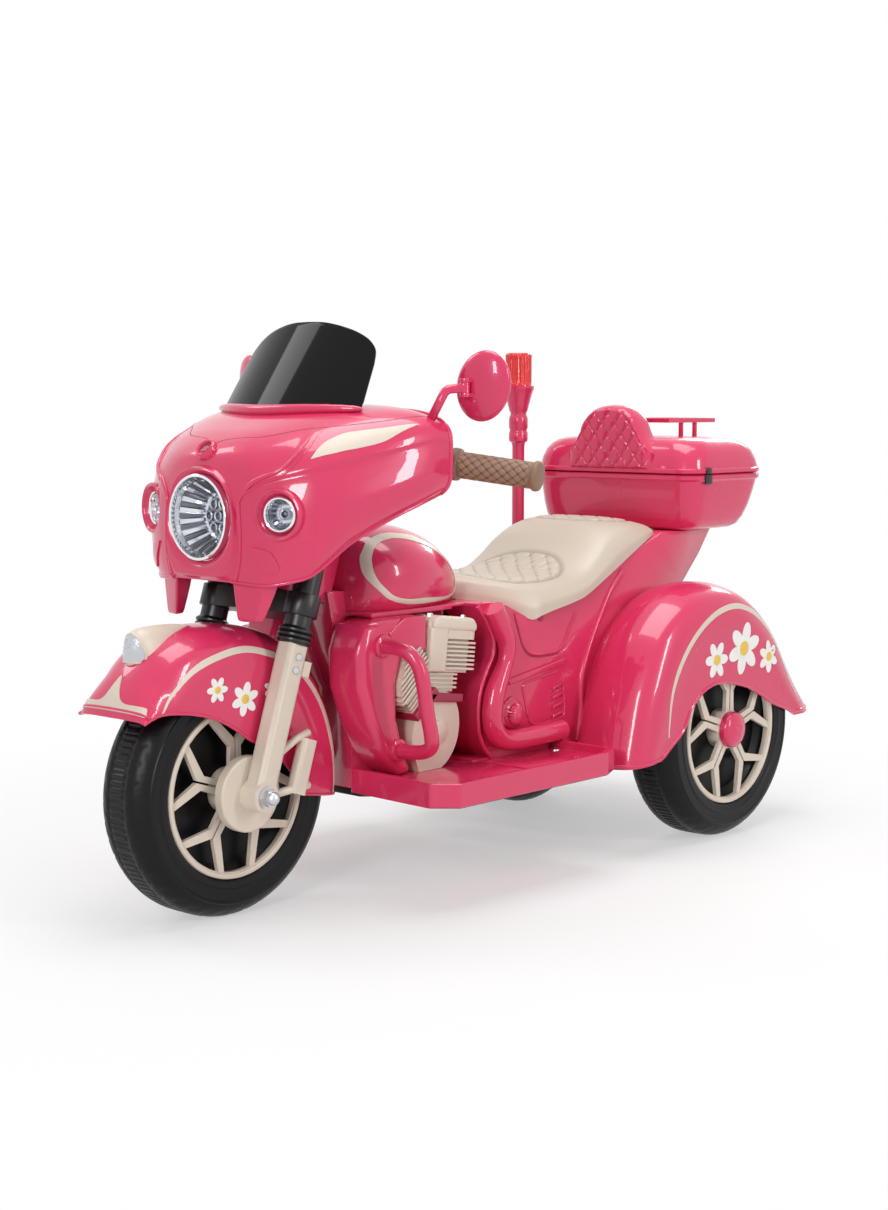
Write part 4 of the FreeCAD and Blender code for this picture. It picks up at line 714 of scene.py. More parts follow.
# Where the rear fender's shell ends, and the angles of the beads on its two ends
REAR_SPAN = (-7, 178.8)
REAR_BEADS = (-6.0, 176.8)
FRONT_FENDER_HALF = 58.0
FENDER_INNER, FENDER_OUTER = 108.3, 219.0
FRONT_CORE = at(0, *FRONT_AXLE)
REAR_CORE = at(165, *REAR_AXLE)


def polar(axle, angle, x, radius):
    """A point about an axle: angle 0 is ahead of it, 90 above it."""
    a = radians(angle)
    return at(x, axle[0] - radius * cos(a), axle[1] + radius * sin(a))


def front_fender_section(angle):
    """Across and radius of the fender's section, from its right lower edge over the crown to its left one."""
    rise, skirt = eased(FRONT_FENDER, angle)
    crown, low = TYRE_RADIUS + rise, TYRE_RADIUS - skirt
    drop = min(46.0, 0.75 * (crown - low))
    half, shoulder = FRONT_FENDER_HALF, crown - drop
    middle = (shoulder + low) / 2
    side = [(half, low), (half, middle), (half, shoulder), (0.86 * half, crown - 0.42 * drop),
            (0.5 * half, crown - 0.09 * drop)]
    return [(-x, r) for x, r in side] + [(0, crown)] + list(reversed(side))


def rear_fender_section(angle):
    """The same for the left rear fender, from its inner edge to its outer lower one."""
    rise, skirt = eased(REAR_FENDER, angle)
    crown, low = TYRE_RADIUS + rise, TYRE_RADIUS - skirt
    corner, lean = min(38.0, 0.6 * (crown - low)), 14.0
    inner, outer = FENDER_INNER, FENDER_OUTER
    return [(inner, crown - lean), (inner + 22, crown - 0.3 * lean), (inner + 50, crown),
            (outer - corner, crown - 0.06 * corner), (outer - 0.3 * corner, crown - 0.36 * corner),
            (outer, crown - corner), (outer, (crown - corner + low) / 2), (outer, low)]


def section_at(section, share):
    """Across and radius at a share of a section's length."""
    table = chord_table(section)
    return eased(table, share * table[-1][0])


def front_fender_skin(angle, share):
    """A point of the front fender, by angle round the axle and share of the way across."""
    x, radius = section_at(front_fender_section(angle), share)
    return polar(FRONT_AXLE, angle, x, radius)


def rear_fender_skin(angle, share):
    """The same for the left rear fender."""
    x, radius = section_at(rear_fender_section(angle), share)
    return polar(REAR_AXLE, angle, x, radius)


def share_at_radius(section, radius, outer_first):
    """Where a section's left side crosses a radius, as a share of its length."""
    low, high = (0.5, 1.0) if outer_first else (0.35, 1.0)
    table = chord_table(section)
    for _ in range(24):
        middle = (low + high) / 2
        if eased(table, middle * table[-1][0])[1] > radius:
            low = middle
        else:
            high = middle
    return (low + high) / 2


# The lamp on the front fender's nose: angle, half width and height above the tyre
LAMP_HOUSING = [(50.2, 9, 49), (51.2, 14, 57), (53.5, 19, 69), (56, 21.5, 77), (58.5, 22, 80), (62, 20.5, 76),
                (68, 15, 66), (76, 7, 54), (81, 2, 46)]
LAMP_FOOT = 30.0
# Its bright face: angle of its middle, half its angle and half its share of the way across
LAMP_FACE = (54.3, 2.9, 0.33)
# Each point: angle and radius of the stripe's middle
FRONT_STRIPE = [(39, 168), (43, 169), (50, 170), (62, 172), (76, 170), (89, 169), (101, 165), (125, 158),
                (140, 152), (159, 145), (180, 143), (188, 143)]
REAR_STRIPE = [(3, 156), (12, 158), (25, 164), (43, 168), (60, 171), (75, 173), (91, 172), (106, 166),
               (122, 158), (140, 151), (158, 150), (172, 164)]


def stripe_rows(section_of, stripe, width, steps, outer_first):
    """A stripe along a fender's side: angle, then the shares of its two edges, narrower at its ends."""
    first, last = stripe[0][0], stripe[-1][0]
    rows = []
    for k in range(steps + 1):
        angle = first + (last - first) * k / steps
        middle = eased(stripe, angle)[0]
        section = section_of(angle)
        end = min(1.0, 0.25 + 4 * min(k, steps - k) / steps)
        top = share_at_radius(section, middle + width * end / 2, outer_first)
        low = share_at_radius(section, middle - width * end / 2, outer_first)
        rows.append((angle, top, low))
    return rows


def fender_shell(name, skin, first, last, columns, rows, core, wall):
    """A fender's skin between two angles, with its wall."""
    def place(column, row):
        return skin(first + (last - first) * column / columns, row / rows)

    shell = formed_sheet(name, columns, rows, place)
    face_away(shell, core)
    thicken(shell, wall)
    return shell


def side_x(section_of, axle, outer_first, y, z):
    """How far out a fender's left side is at Y and Z."""
    angle = degrees(atan2(z - axle[1], axle[0] - y))
    section = section_of(angle)
    radius = hypot(z - axle[1], axle[0] - y)
    return section_at(section, share_at_radius(section, radius, outer_first))[0]


def daisy(name, spots, side):
    """Plain flowers on a fender's side, each spot Y, Z and size. Petals and eyes are two pieces."""
    petals, eyes = [], []
    for k, (y, z, size) in enumerate(spots):
        for petal in range(6):
            turn = radians(60 * petal + 17 * k)
            outline = []
            for step in range(16):
                a = 2 * pi * step / 16
                along, across = 0.55 * size + 0.42 * size * cos(a), 0.25 * size * sin(a)
                dot_y = y + along * cos(turn) - across * sin(turn)
                dot_z = z + along * sin(turn) + across * cos(turn)
                outline.append(at(side(dot_y, dot_z) - 0.6, dot_y, dot_z))
            petals.append(slab(f"{name}_petal", outline, (1.2, 0, 0), 0.2, 1))
        ring = []
        for step in range(20):
            a = 2 * pi * step / 20
            dot_y, dot_z = y + 0.27 * size * cos(a), z + 0.27 * size * sin(a)
            ring.append(at(side(dot_y, dot_z) - 0.6, dot_y, dot_z))
        eyes.append(slab(f"{name}_eye", ring, (1.8, 0, 0), 0.35, 2))
    return joined(f"{name}_petals", petals), joined(f"{name}_eyes", eyes)


class TRIKE_OT_front_fender(bpy.types.Operator):
    """Forms the front fender with its bead, stripes, nose trim and lamp."""

    bl_idname = "trike.front_fender"
    bl_label = "Front fender"

    def execute(self, context):
        sizes = context.scene.trike_sizes
        first, last = FRONT_FENDER[0][0], FRONT_FENDER[-1][0]
        shell = fender_shell("front_fender_shell", front_fender_skin, first, last, 90, 56, FRONT_CORE,
                             sizes.wall)
        beads = []
        for share in (0.004, 0.996):
            line = [front_fender_skin(first + (last - first) * k / 70, share) for k in range(71)]
            beads.append(tube("front_fender_bead", line, 2.0, 10))
        for angle in (first + 2.9, last - 0.4):
            line = [front_fender_skin(angle, 0.004 + 0.992 * k / 40) for k in range(41)]
            beads.append(tube("front_fender_bead", line, 1.8, 10))
        shell = joined("front_fender_shell", [shell] + beads)
        finish_piece(shell, "steering", "gloss_pink", ["front_fender"])

        rows = stripe_rows(front_fender_section, FRONT_STRIPE, sizes.stripe * 1000, 80, True)
        left = strip_on("front_stripe_left", front_fender_skin, rows, FRONT_CORE, lift=0.4)
        finish_both_sides(left, "steering", "satin_beige")
        self.nose_trim()
        self.lamp()
        spots = [(-426, 277, 16), (-384, 262, 21), (-342, 270, 13)]
        petals, eyes = daisy("front_daisies_left", spots,
                             lambda y, z: side_x(front_fender_section, FRONT_AXLE, True, y, z))
        for piece, shade in ((petals, "print_white"), (eyes, "print_yellow")):
            finish_both_sides(piece, "steering", shade)
        return {"FINISHED"}

    def nose_trim(self):
        """A beige moustache along the fender's front lip."""
        rows = []
        steps = 96
        lip = FRONT_FENDER[0][0] + 2.2
        for k in range(steps + 1):
            share = 0.06 + 0.88 * k / steps
            away = abs(share - 0.5) / 0.44
            wide = 2.3 + 1.4 * away ** 2 + 9.6 * exp(-(away / 0.14) ** 1.25)
            rows.append((share, lip, lip + wide * (1 - fade(away, 0.86, 1.0) * 0.7)))
        trim = strip_on("fender_nose_trim", lambda share, angle: front_fender_skin(angle, share), rows,
                        FRONT_CORE, lift=1.0, depth=1.8)
        finish_piece(trim, "steering", "satin_beige")

    def lamp(self):
        """A teardrop lamp on the fender's nose: a beige housing with a small bright oval face."""
        first, last = LAMP_HOUSING[0][0], LAMP_HOUSING[-1][0]
        columns, rows = 44, 28
        core = polar(FRONT_AXLE, 62, 0, TYRE_RADIUS + 40)

        def skin(angle, share):
            half, high = eased(LAMP_HOUSING, angle)
            a = pi * share
            foot = TYRE_RADIUS + LAMP_FOOT
            return polar(FRONT_AXLE, angle, half * cos(a),
                         foot + (TYRE_RADIUS + high - foot) * sin(a) ** 0.8)

        housing = formed_sheet("fender_lamp_housing", columns, rows,
                               lambda c, r: skin(first + (last - first) * c / columns, r / rows))
        face_away(housing, core)
        thicken(housing, 0.003)
        finish_piece(housing, "steering", "satin_beige", ["fender_lamp"])

        def oval(turn, reach, lift):
            angle = LAMP_FACE[0] + LAMP_FACE[1] * reach * sin(turn)
            point = skin(angle, 0.5 + LAMP_FACE[2] * reach * cos(turn))
            return point + (point - core).normalized() * lift / 1000

        sectors, rings = 22, 5

        def facet(column, row):
            dent = 0.8 if (column + row) % 2 and 0 < row < rings else 0.0
            return oval(2 * pi * (column % sectors) / sectors, row / rings, 0.9 - dent)

        lens = formed_sheet("fender_lamp_lens", sectors, rings, facet, closed=True)
        face_away(lens, core)
        thicken(lens, 0.0015)
        finish_piece(lens, "steering", "reflector", sharp=5)
        edge = [oval(2 * pi * k / 48, 1.06, 0.4) for k in range(48)]
        rim = tube("fender_lamp_rim", edge, 1.5, 10, closed=True)
        finish_piece(rim, "steering", "satin_beige")


class TRIKE_OT_rear_fenders(bpy.types.Operator):
    """Forms both rear fenders with beads, stripes and a plain flower print."""

    bl_idname = "trike.rear_fenders"
    bl_label = "Rear fenders"

    def execute(self, context):
        sizes = context.scene.trike_sizes
        left = fender_shell("rear_fender_left_shell", rear_fender_skin, *REAR_SPAN, 100, 48, REAR_CORE,
                            sizes.wall)
        ahead, behind = REAR_BEADS
        over, along = 36, 90
        line = [rear_fender_skin(ahead, 0.02 + 0.95 * k / over) for k in range(over + 1)]
        for k in range(along + 1):
            line.append(rear_fender_skin(ahead + 0.8 + (behind - ahead - 1.6) * k / along, 0.994))
        line += [rear_fender_skin(behind, 0.97 - 0.95 * k / over) for k in range(over + 1)]
        left = joined("rear_fender_left_shell", [left, tube("rear_fender_bead", line, 2.2, 10)])
        right = mirrored(left, "rear_fender_right_shell")
        finish_piece(left, "body", "gloss_pink", ["rear_fender_left"])
        finish_piece(right, "body", "gloss_pink", ["rear_fender_right"])
        rows = stripe_rows(rear_fender_section, REAR_STRIPE, sizes.stripe * 1000, 90, False)
        stripe = strip_on("rear_stripe_left", rear_fender_skin, rows, REAR_CORE, lift=0.4)
        finish_both_sides(stripe, "body", "satin_beige")
        spots = [(330, 252, 27), (395, 262, 38), (456, 245, 24)]
        petals, eyes = daisy("rear_daisies_left", spots,
                             lambda y, z: side_x(rear_fender_section, REAR_AXLE, False, y, z))
        for piece, shade in ((petals, "print_white"), (eyes, "print_yellow")):
            finish_both_sides(piece, "body", shade)
        return {"FINISHED"}


# Fairing

# Each station: Y, half width, lower edge, top, squareness
FAIRING = [
    (-396, 60, 397, 530, 2.4), (-390, 84, 395, 543, 2.5), (-380, 108, 394, 553, 2.6),
    (-364, 131, 398, 563, 2.7), (-345, 150, 406, 572, 2.8), (-300, 167, 441, 588, 3.1),
    (-250, 181, 467, 598, 3.5), (-205, 189, 485, 600, 4.0), (-176, 190, 495, 594, 4.2),
]
# Lines drawn on the fairing's left side: Y, then the share of the way over the roof
BROW_LINE = [(-396, 0.800), (-394.5, 0.757), (-389, 0.728), (-382, 0.722), (-374, 0.7215), (-366, 0.715),
             (-351, 0.685), (-338, 0.667), (-327, 0.650), (-310, 0.630)]
CHEEK_LINE = [(-396, 0.742), (-381, 0.737), (-365, 0.745), (-342, 0.758), (-311, 0.788), (-276, 0.812),
              (-235, 0.826), (-176, 0.836)]
LOW_LINE = [(-380, 0.840), (-340, 0.852), (-303, 0.863), (-252, 0.870), (-211, 0.867), (-176, 0.862)]
LID_SEAM = [(-384, 0.500), (-371, 0.513), (-358, 0.573), (-344, 0.595), (-328, 0.613), (-296, 0.662),
            (-256, 0.697), (-219, 0.707), (-178, 0.704)]
# The beige wedge: Y, then the shares of its upper and lower edge
WEDGE = [(-345.5, 0.7205, 0.7225), (-334, 0.703, 0.731), (-323, 0.695, 0.742), (-312, 0.695, 0.752),
         (-300, 0.698, 0.764), (-280, 0.715, 0.777), (-267, 0.7255, 0.780), (-258, 0.732, 0.777),
         (-246, 0.7385, 0.770), (-238, 0.742, 0.766), (-228, 0.748, 0.761), (-218.5, 0.7545, 0.7565)]
FAIRING_CORE = at(0, -280, 480)
HOOD_CURL = radians(35)
# Each lamp: X, Y of its mouth, Z, radius
HEADLAMP = (0, -399, 470, 49)
SIDE_LAMP = (110, -380, 476, 20)
SIDE_LAMP_AIM = Vector((0.30, -0.95, 0.0)).normalized()
SIDE_LAMP_SUNK = 10.0
LAMP_HOLE_RADIUS = 28.6
# How far the nose's rolled ring stands out, and the badge's place
NOSE_ROLL, BADGE_Y = 7.5, -387.5
# The left prong under the nose: X and Y of its corners at the chin and at its tip
PRONG_TOP = [(49, -394), (89, -380), (95, -362), (54, -364)]
PRONG_TIP = [(53, -391.5), (80, -383), (82, -373), (56, -376)]
PRONG_LEVELS = [(412, 0.0, 1.0), (396, 0.0, 1.0), (385, 0.22, 1.0), (370, 0.58, 1.0), (357, 0.92, 1.0),
                (354, 1.0, 0.96), (352.6, 1.0, 0.84), (352, 1.0, 0.6), (352, 1.0, 0.0)]


def hood_point(half, edge, top, power, share):
    """Across and height on a rounded roof, from its right lower edge to its left one."""
    rise = (top - edge) / (1 + sin(HOOD_CURL) ** (2 / power))
    angle = pi + HOOD_CURL - (pi + 2 * HOOD_CURL) * share
    c, s = cos(angle), sin(angle)
    x = half * copysign(abs(c) ** (2 / power), c)
    z = top - rise + rise * copysign(abs(s) ** (2 / power), s)
    return x, max(z, edge)


def fairing_skin(y, share):
    """The fairing's outer skin, with the ridges on its sides."""
    x, z = hood_point(*eased(FAIRING, y), share)
    side = max(share, 1 - share)
    below = side - eased(CHEEK_LINE, y)[0]
    out = -4.2 * fade(below, -0.006, 0.008) * exp(-max(below, 0) / 0.075)
    out *= fade(y, -392, -376) * (1 - 0.8 * fade(y, -290, -200))
    brow = (side - eased(BROW_LINE, y)[0]) / 0.012
    out += 2.0 * exp(-brow * brow) * (1 - fade(y, -345, -318))
    low = (side - eased(LOW_LINE, y)[0]) / 0.014
    out += 2.2 * exp(-low * low) * fade(y, -345, -300) * (1 - fade(y, -215, -185))
    slope = Vector((x / 1.4, z - 480)).normalized()
    return at(x + out * slope.x, y, z + out * slope.y)


def nose_outline():
    """The edge of the nose plate, as angle and distance about the headlamp, with the straight chin below."""
    points = [hood_point(*FAIRING[0][1:], k / 60) for k in range(61)]
    first, last = points[-1], points[0]
    points += [(first[0] + (last[0] - first[0]) * k / 20, first[1]) for k in range(1, 20)]
    rows = []
    for x, z in points:
        rows.append((atan2(z - HEADLAMP[2], x) % (2 * pi), hypot(x, z - HEADLAMP[2])))
    rows.sort()
    before = [(a - 2 * pi, d) for a, d in rows[-3:]]
    after = [(a + 2 * pi, d) for a, d in rows[:3]]
    return before + rows + after


class TRIKE_OT_fairing(bpy.types.Operator):
    """Forms the fairing: side shell, nose plate, lamp pods, brow, screen lip, inserts and seams."""

    bl_idname = "trike.fairing"
    bl_label = "Fairing"

    def execute(self, context):
        wall = context.scene.trike_sizes.wall
        columns, rows = 120, 200
        first, last = FAIRING[0][0], FAIRING[-1][0]

        def place(column, row):
            way = (column / columns) ** 1.6
            return fairing_skin(first + (last - first) * way, row / rows)

        shell = formed_sheet("fairing_shell", columns, rows, place)
        face_away(shell, FAIRING_CORE)
        thicken(shell, wall)
        self.cut_lamp_holes(shell)
        parts = [shell, self.nose_plate(wall)]
        rear_edge = [fairing_skin(last + 0.5, k / 80) for k in range(81)]
        parts.append(tube("fairing_bead", rear_edge, 2.6, 10))
        for edge in (0.003, 0.997):
            line = []
            for k in range(91):
                line.append(fairing_skin(first + (last - first) * (k / 90) ** 1.6, edge))
            parts.append(tube("fairing_bead", line, 2.2, 10))
        parts += self.pods() + self.prongs() + self.brow_ridges()
        fairing = joined("fairing_shell", parts)
        finish_piece(fairing, "steering", "gloss_pink", ["fairing"], sharp=40)
        self.trims()
        return {"FINISHED"}

    def cut_lamp_holes(self, shell):
        """Cuts the shell open where the side lamps look out."""
        x, y, z = SIDE_LAMP[:3]
        cutters = []
        for side in (1, -1):
            aim = Vector((side * SIDE_LAMP_AIM.x, SIDE_LAMP_AIM.y, 0))
            profile = [(0, -30), (LAMP_HOLE_RADIUS, -30), (LAMP_HOLE_RADIUS, 40), (0, 40)]
            cutter = turned("lamp_hole", profile, at(side * x, y, z), aim, 64)
            merge_points(cutter, outwards=True)
            cutters.append(cutter)
        cutter = joined("lamp_holes", cutters)
        modify(shell, "BOOLEAN", object=cutter, operation="DIFFERENCE", solver="EXACT")
        only(cutter)
        bpy.ops.object.delete()
        only(shell)

    def nose_plate(self, wall):
        """The plate round the headlamp: a funnel, a rolled ring and a face down to the chin."""
        outline = nose_outline()
        sides, rings = 128, 18
        front, z, radius = HEADLAMP[1:]

        def place(column, row):
            angle = 2 * pi * (column % sides) / sides
            inner = radius + 1.6
            outer = max(eased(outline, angle)[0], inner + 4)
            way = row / rings
            distance = inner + (outer - inner) * way
            roll = (distance - inner) / 11
            ahead = NOSE_ROLL * sin(pi / 2 * roll) if roll < 1 else NOSE_ROLL - min(roll - 1, 2.2)
            settle = fade(way, 0.72, 1.0)
            y = (front + 3.5 - ahead) * (1 - settle) + (FAIRING[0][0] + 0.4) * settle
            return at(distance * cos(angle), y, z + distance * sin(angle))

        plate = formed_sheet("nose_plate", sides, rings, place)
        merge_points(plate)
        face_away(plate, at(0, -300, z))
        thicken(plate, wall)
        return plate

    def brow_ridges(self):
        """Flowing double ridges that rise beside the headlamp and sweep back over the side lamps."""
        ridges = []
        for offset, radius in ((0.0, 2.8), (0.017, 1.7)):
            line = [fairing_skin(FAIRING[0][0] + 1, 0.985 - 0.185 * k / 20) for k in range(20)]
            for k in range(50):
                y = -395 + 80 * (k / 49) ** 1.5
                line.append(fairing_skin(y, eased(BROW_LINE, y)[0] + offset * fade(y, -396, -388)))
            ridge = tube("brow_ridge", smooth_line(line, 90),
                         lambda t: radius * (1 - 0.8 * fade(t, 0.6, 1.0)), 12)
            ridges += [ridge, mirrored(ridge, "brow_ridge_right")]
        return ridges

    def prongs(self):
        """The two blunt prongs that hang from the nose."""
        around = len(smooth_corners(PRONG_TOP, 4))

        def place(column, row):
            z, way, share = PRONG_LEVELS[row]
            corners = [tuple(Vector(a).lerp(Vector(b), way)) for a, b in zip(PRONG_TOP, PRONG_TIP)]
            x, y = smooth_corners(corners, 4)[column % around]
            middle = sum((Vector(corner) for corner in corners), Vector((0, 0))) / 4
            return at(middle.x + (x - middle.x) * share, middle.y + (y - middle.y) * share, z)

        left = formed_sheet("nose_prong", around, len(PRONG_LEVELS) - 1, place, closed=True)
        return [left, mirrored(left, "nose_prong_right")]

    def pods(self):
        """Ringed funnels down to the two side lamps."""
        x, y, z = SIDE_LAMP[:3]
        profile = [(20.4, -34), (20.4, -11), (21.4, -10), (25.4, -1.6), (26.4, 0.6), (28.0, 1.4), (29.6, 0.8),
                   (30.6, -1.2), (30.8, -4), (30.2, -14), (29.4, -34), (20.4, -34)]
        pods = []
        for side in (1, -1):
            aim = Vector((side * SIDE_LAMP_AIM.x, SIDE_LAMP_AIM.y, 0))
            pods.append(turned("lamp_pod", profile, at(side * x, y, z), aim, 64))
        return pods

    def trims(self):
        """The beige wedges, the lid's seams, the cheek's facets, the screen's lip and the oval badge."""
        wedge, seam = [], []
        for k in range(61):
            y = WEDGE[0][0] + (WEDGE[-1][0] - WEDGE[0][0]) * k / 60
            wedge.append((y, *eased(WEDGE, y)))
            y = LID_SEAM[0][0] + (LID_SEAM[-1][0] - LID_SEAM[0][0]) * k / 60
            middle = eased(LID_SEAM, y)[0]
            seam.append((y, middle - 0.0019, middle + 0.0019))
        facet = [(-391, 0.8815, 0.8825), (-386, 0.889, 0.926), (-382, 0.897, 0.962), (-378, 0.922, 0.956),
                 (-375.5, 0.944, 0.946)]
        # The lid's seams are thin strips in the pink of painted shade
        marks = [("fairing_wedge", wedge, "satin_beige", 0.7, 1.6, 8),
                 ("fairing_seam", seam, "deep_pink", 0.2, 0.6, 1),
                 ("cheek_facet", facet, "gloss_pink", 2.0, 2.6, 4)]
        for name, rows, shade, lift, depth, across in marks:
            left = strip_on(f"{name}_left", fairing_skin, rows, FAIRING_CORE, lift=lift, depth=depth,
                            across=across)
            finish_both_sides(left, "steering", shade)
        lip = []
        for k in range(49):
            x = (SCREEN_HALF + 3) * (k / 24 - 1)
            y = screen_y(x, SCREEN_FOOT) - 2
            lip.append(at(x, y, fairing_top(x, y) + 4.0))
        lip = tube("screen_lip", lip, lambda t: 2.0 + 5.0 * sin(pi * t) ** 0.5, 16)
        finish_piece(lip, "steering", "gloss_pink")
        base = at(0, BADGE_Y, fairing_top(0, BADGE_Y) + 1.5)
        rim = [(8.6, -4), (8.6, 2.4), (9.6, 4.2), (11.4, 4.8), (13.0, 3.8), (13.8, 1.6), (14, -6), (8.6, -4)]
        disc = [(0, 2.6), (4, 2.5), (5, 1.6), (6.2, 2.4), (8.8, 1.6), (8.8, -4), (0, -4)]
        # The badge's sunk disc is in the pink of painted shade
        for name, profile, shade in (("badge_rim", rim, "gloss_pink"), ("badge_disc", disc, "deep_pink")):
            piece = turned(name, profile, base, (0, -0.72, 0.69), 48)
            finish_piece(piece, "steering", shade)


def fairing_top(x, y):
    """Height of the fairing's roof at a place."""
    best = None
    for k in range(101):
        px, pz = hood_point(*eased(FAIRING, y), 0.25 + 0.5 * k / 100)
        if best is None or abs(px - x) < best[0]:
            best = (abs(px - x), pz)
    return best[1]


# Windscreen: height, half width, Y of the side edges, Y of the middle
SCREEN_LOW = (585, 126, -256, -300)
SCREEN_HIGH = (705, 116, -182, -220)
# Half its width at the foot, how much narrower it is at the top, and the height at which it meets the fairing
SCREEN_HALF, SCREEN_TAPER, SCREEN_FOOT = 121, 10, 590
SCREEN_WALL = 0.0032
# Its top edge: distance from the middle, height
SCREEN_CROWN = [(0, 698.4), (25, 697.6), (47, 694), (72, 687), (91, 678), (101, 670), (107, 662), (111, 648)]


def screen_y(x, z):
    """The windscreen's front face at a place across and up."""
    t = (z - SCREEN_LOW[0]) / (SCREEN_HIGH[0] - SCREEN_LOW[0])
    half, edge, middle = [a + (b - a) * t for a, b in zip(SCREEN_LOW[1:], SCREEN_HIGH[1:])]
    return middle + (edge - middle) * (x / half) ** 2


class TRIKE_OT_windscreen(bpy.types.Operator):
    """Forms the curved smoked windscreen."""

    bl_idname = "trike.windscreen"
    bl_label = "Windscreen"

    def execute(self, context):
        columns, rows = 64, 28

        def place(column, row):
            u = sin(pi / 2 * (2 * column / columns - 1))
            v = row / rows
            x = u * (SCREEN_HALF - SCREEN_TAPER * v)
            foot_y = screen_y(x, SCREEN_FOOT)
            foot = fairing_top(x, foot_y) - 5
            crown = eased(SCREEN_CROWN, abs(u) * SCREEN_CROWN[-1][0])[0]
            z = foot + (crown - foot) * v
            return at(x, screen_y(x, z), z)

        screen = formed_sheet("curved_windscreen", columns, rows, place)
        face_away(screen, at(0, -150, 620))
        thicken(screen, SCREEN_WALL)
        round_edges(screen, 0.0009, 2, 50)
        finish_piece(screen, "steering", "smoked_screen", ["windscreen"], sharp=40)
        return {"FINISHED"}


# The corners of a panel in the headlamp's bowl: share of the radius, depth and turn
BOWL_PANEL = [(0.90, -6, -0.07), (0.90, -6, 0.07), (0.60, -30, 0.05), (0.60, -30, -0.05)]


class TRIKE_OT_lamps(bpy.types.Operator):
    """Makes the headlamp and side lamps: bright rims, faceted bowls, bulbs and clear lenses."""

    bl_idname = "trike.lamps"
    bl_label = "Lamps"

    def execute(self, context):
        aim = SIDE_LAMP_AIM
        lamps = [("headlamp", HEADLAMP, Vector((0, -1, 0))), ("side_left", SIDE_LAMP, aim),
                 ("side_right", (-SIDE_LAMP[0], *SIDE_LAMP[1:]), Vector((-aim.x, aim.y, 0)))]
        lenses, side_bowls, rims, bulbs, eyes = [], [], [], [], []
        for name, (x, front, z, radius), aim in lamps:
            main = name == "headlamp"
            foot = at(x, front, z)
            if not main:
                foot -= aim * SIDE_LAMP_SUNK / 1000
            small = radius / 49
            rim = [(radius - 3.4, -6), (radius - 3.2, 2.5), (radius - 2.2, 4.8), (radius - 0.6, 5.6),
                   (radius + 0.9, 4.6), (radius + 1.4, 2), (radius + 1.2, -4), (radius - 1, -6),
                   (radius - 3.4, -6)]
            rims.append(turned(f"{name}_rim", rim, foot, aim, 72))
            bowl = [(radius - 3.2, -1), (radius * 0.88, -7 * small), (radius * 0.76, -20 * small),
                    (radius * 0.62, -31 * small), (radius * 0.52, -34 * small), (0, -34.5 * small),
                    (0, -37 * small), (radius * 0.6, -36 * small), (radius - 2.5, -8), (radius - 3.2, -1)]
            facets = 36
            piece = turned(f"{name}_bowl", bowl, foot, aim, facets,
                           relief=lambda a, row, r: 1.1 * cos(a * facets / 2) if 0 < row < 4 else 0.0)
            if main:
                finish_piece(piece, "steering", "lamp_bowl", ["headlamp"], sharp=8)
                self.bowl_fins(foot, radius)
            else:
                side_bowls.append(piece)
            spots = [(0, 0)]
            if main:
                spots += [(16 * cos(k * pi / 3), 16 * sin(k * pi / 3)) for k in range(6)]
            for across, up in spots:
                cup = [(3.4, 2.4), (4.2, 6.2), (5.6, 7.2), (6.6, 6.2), (7.0, 2), (7.0, -3), (3.4, -3),
                       (3.4, 2.4)]
                eye = [(0, 5.2), (1.6, 4.9), (2.9, 4.0), (3.5, 2.6), (3.6, 0), (0, 0)]
                seat = foot - aim * 0.034 * small + Vector((across, 0, up)) / 1000
                bulbs.append(turned(f"{name}_cup", cup, seat, aim, 20))
                eyes.append(turned(f"{name}_eye", eye, seat, aim, 16))
            dome = []
            for k in range(9):
                t = k / 8
                dome.append((t * (radius - 3.4), radius * 0.13 * (1 - t * t) + 0.6))
            dome += [(radius - 3.4, -0.8)] + [(r, a - 1.4) for r, a in reversed(dome[:-1])]
            lenses.append(turned(f"{name}_lens", dome, foot, aim, 48))
        bowls = joined("side_lamp_bowls", side_bowls)
        finish_piece(bowls, "steering", "reflector", ["side_lamps"], sharp=8)
        finish_piece(joined("lamp_rims", rims), "steering", "chrome")
        finish_piece(joined("lamp_cups", bulbs), "steering", "reflector")
        finish_piece(joined("lamp_eyes", eyes), "steering", "lamp_dark")
        finish_piece(joined("clear_lenses", lenses), "steering", "clear_lens", ["lamp_lenses"])
        return {"FINISHED"}

    def bowl_fins(self, foot, radius):
        """Alternate panels of darkened metal and chrome round the headlamp's bowl, a painted reflection of
        its facets.
        """
        count = 18
        sets = [("bowl_panels_dark", "lamp_dark", 0.0), ("bowl_panels_bright", "chrome", 0.5)]
        for name, shade, turn in sets:
            panels = []
            for k in range(count):
                middle = 2 * pi * (k + turn) / count
                ring = []
                for far, deep, wide in BOWL_PANEL:
                    angle = middle + wide
                    out = Vector((cos(angle), 0, sin(angle))) * (far * radius - 1.4)
                    ring.append(foot + (out + Vector((0, -deep, 0))) / 1000)
                inward = Vector((-cos(middle), -0.5, -sin(middle))) * 1.2
                panels.append(slab("bowl_panel", ring, inward, 0.0))
            finish_piece(joined(name, panels), "steering", shade)


# Handlebar, grips, mirrors and fork

RAKE = radians(18)
FORK_OFFSET = 32.0


def steer(x, back, up):
    """A drawing point given across, behind and along the steering axis."""
    foot_y = FRONT_AXLE[0] + FORK_OFFSET * cos(RAKE)
    foot_z = FRONT_AXLE[1] - FORK_OFFSET * sin(RAKE)
    return at(x, foot_y + back * cos(RAKE) + up * sin(RAKE),
              foot_z - back * sin(RAKE) + up * cos(RAKE))


STEER_AXIS = (0, sin(RAKE), cos(RAKE))
# The grips' carving: diamonds round, millimetres to one along, and its depth
GRIP_DIAMONDS, GRIP_PITCH, GRIP_RELIEF = 9, 13, 1.5
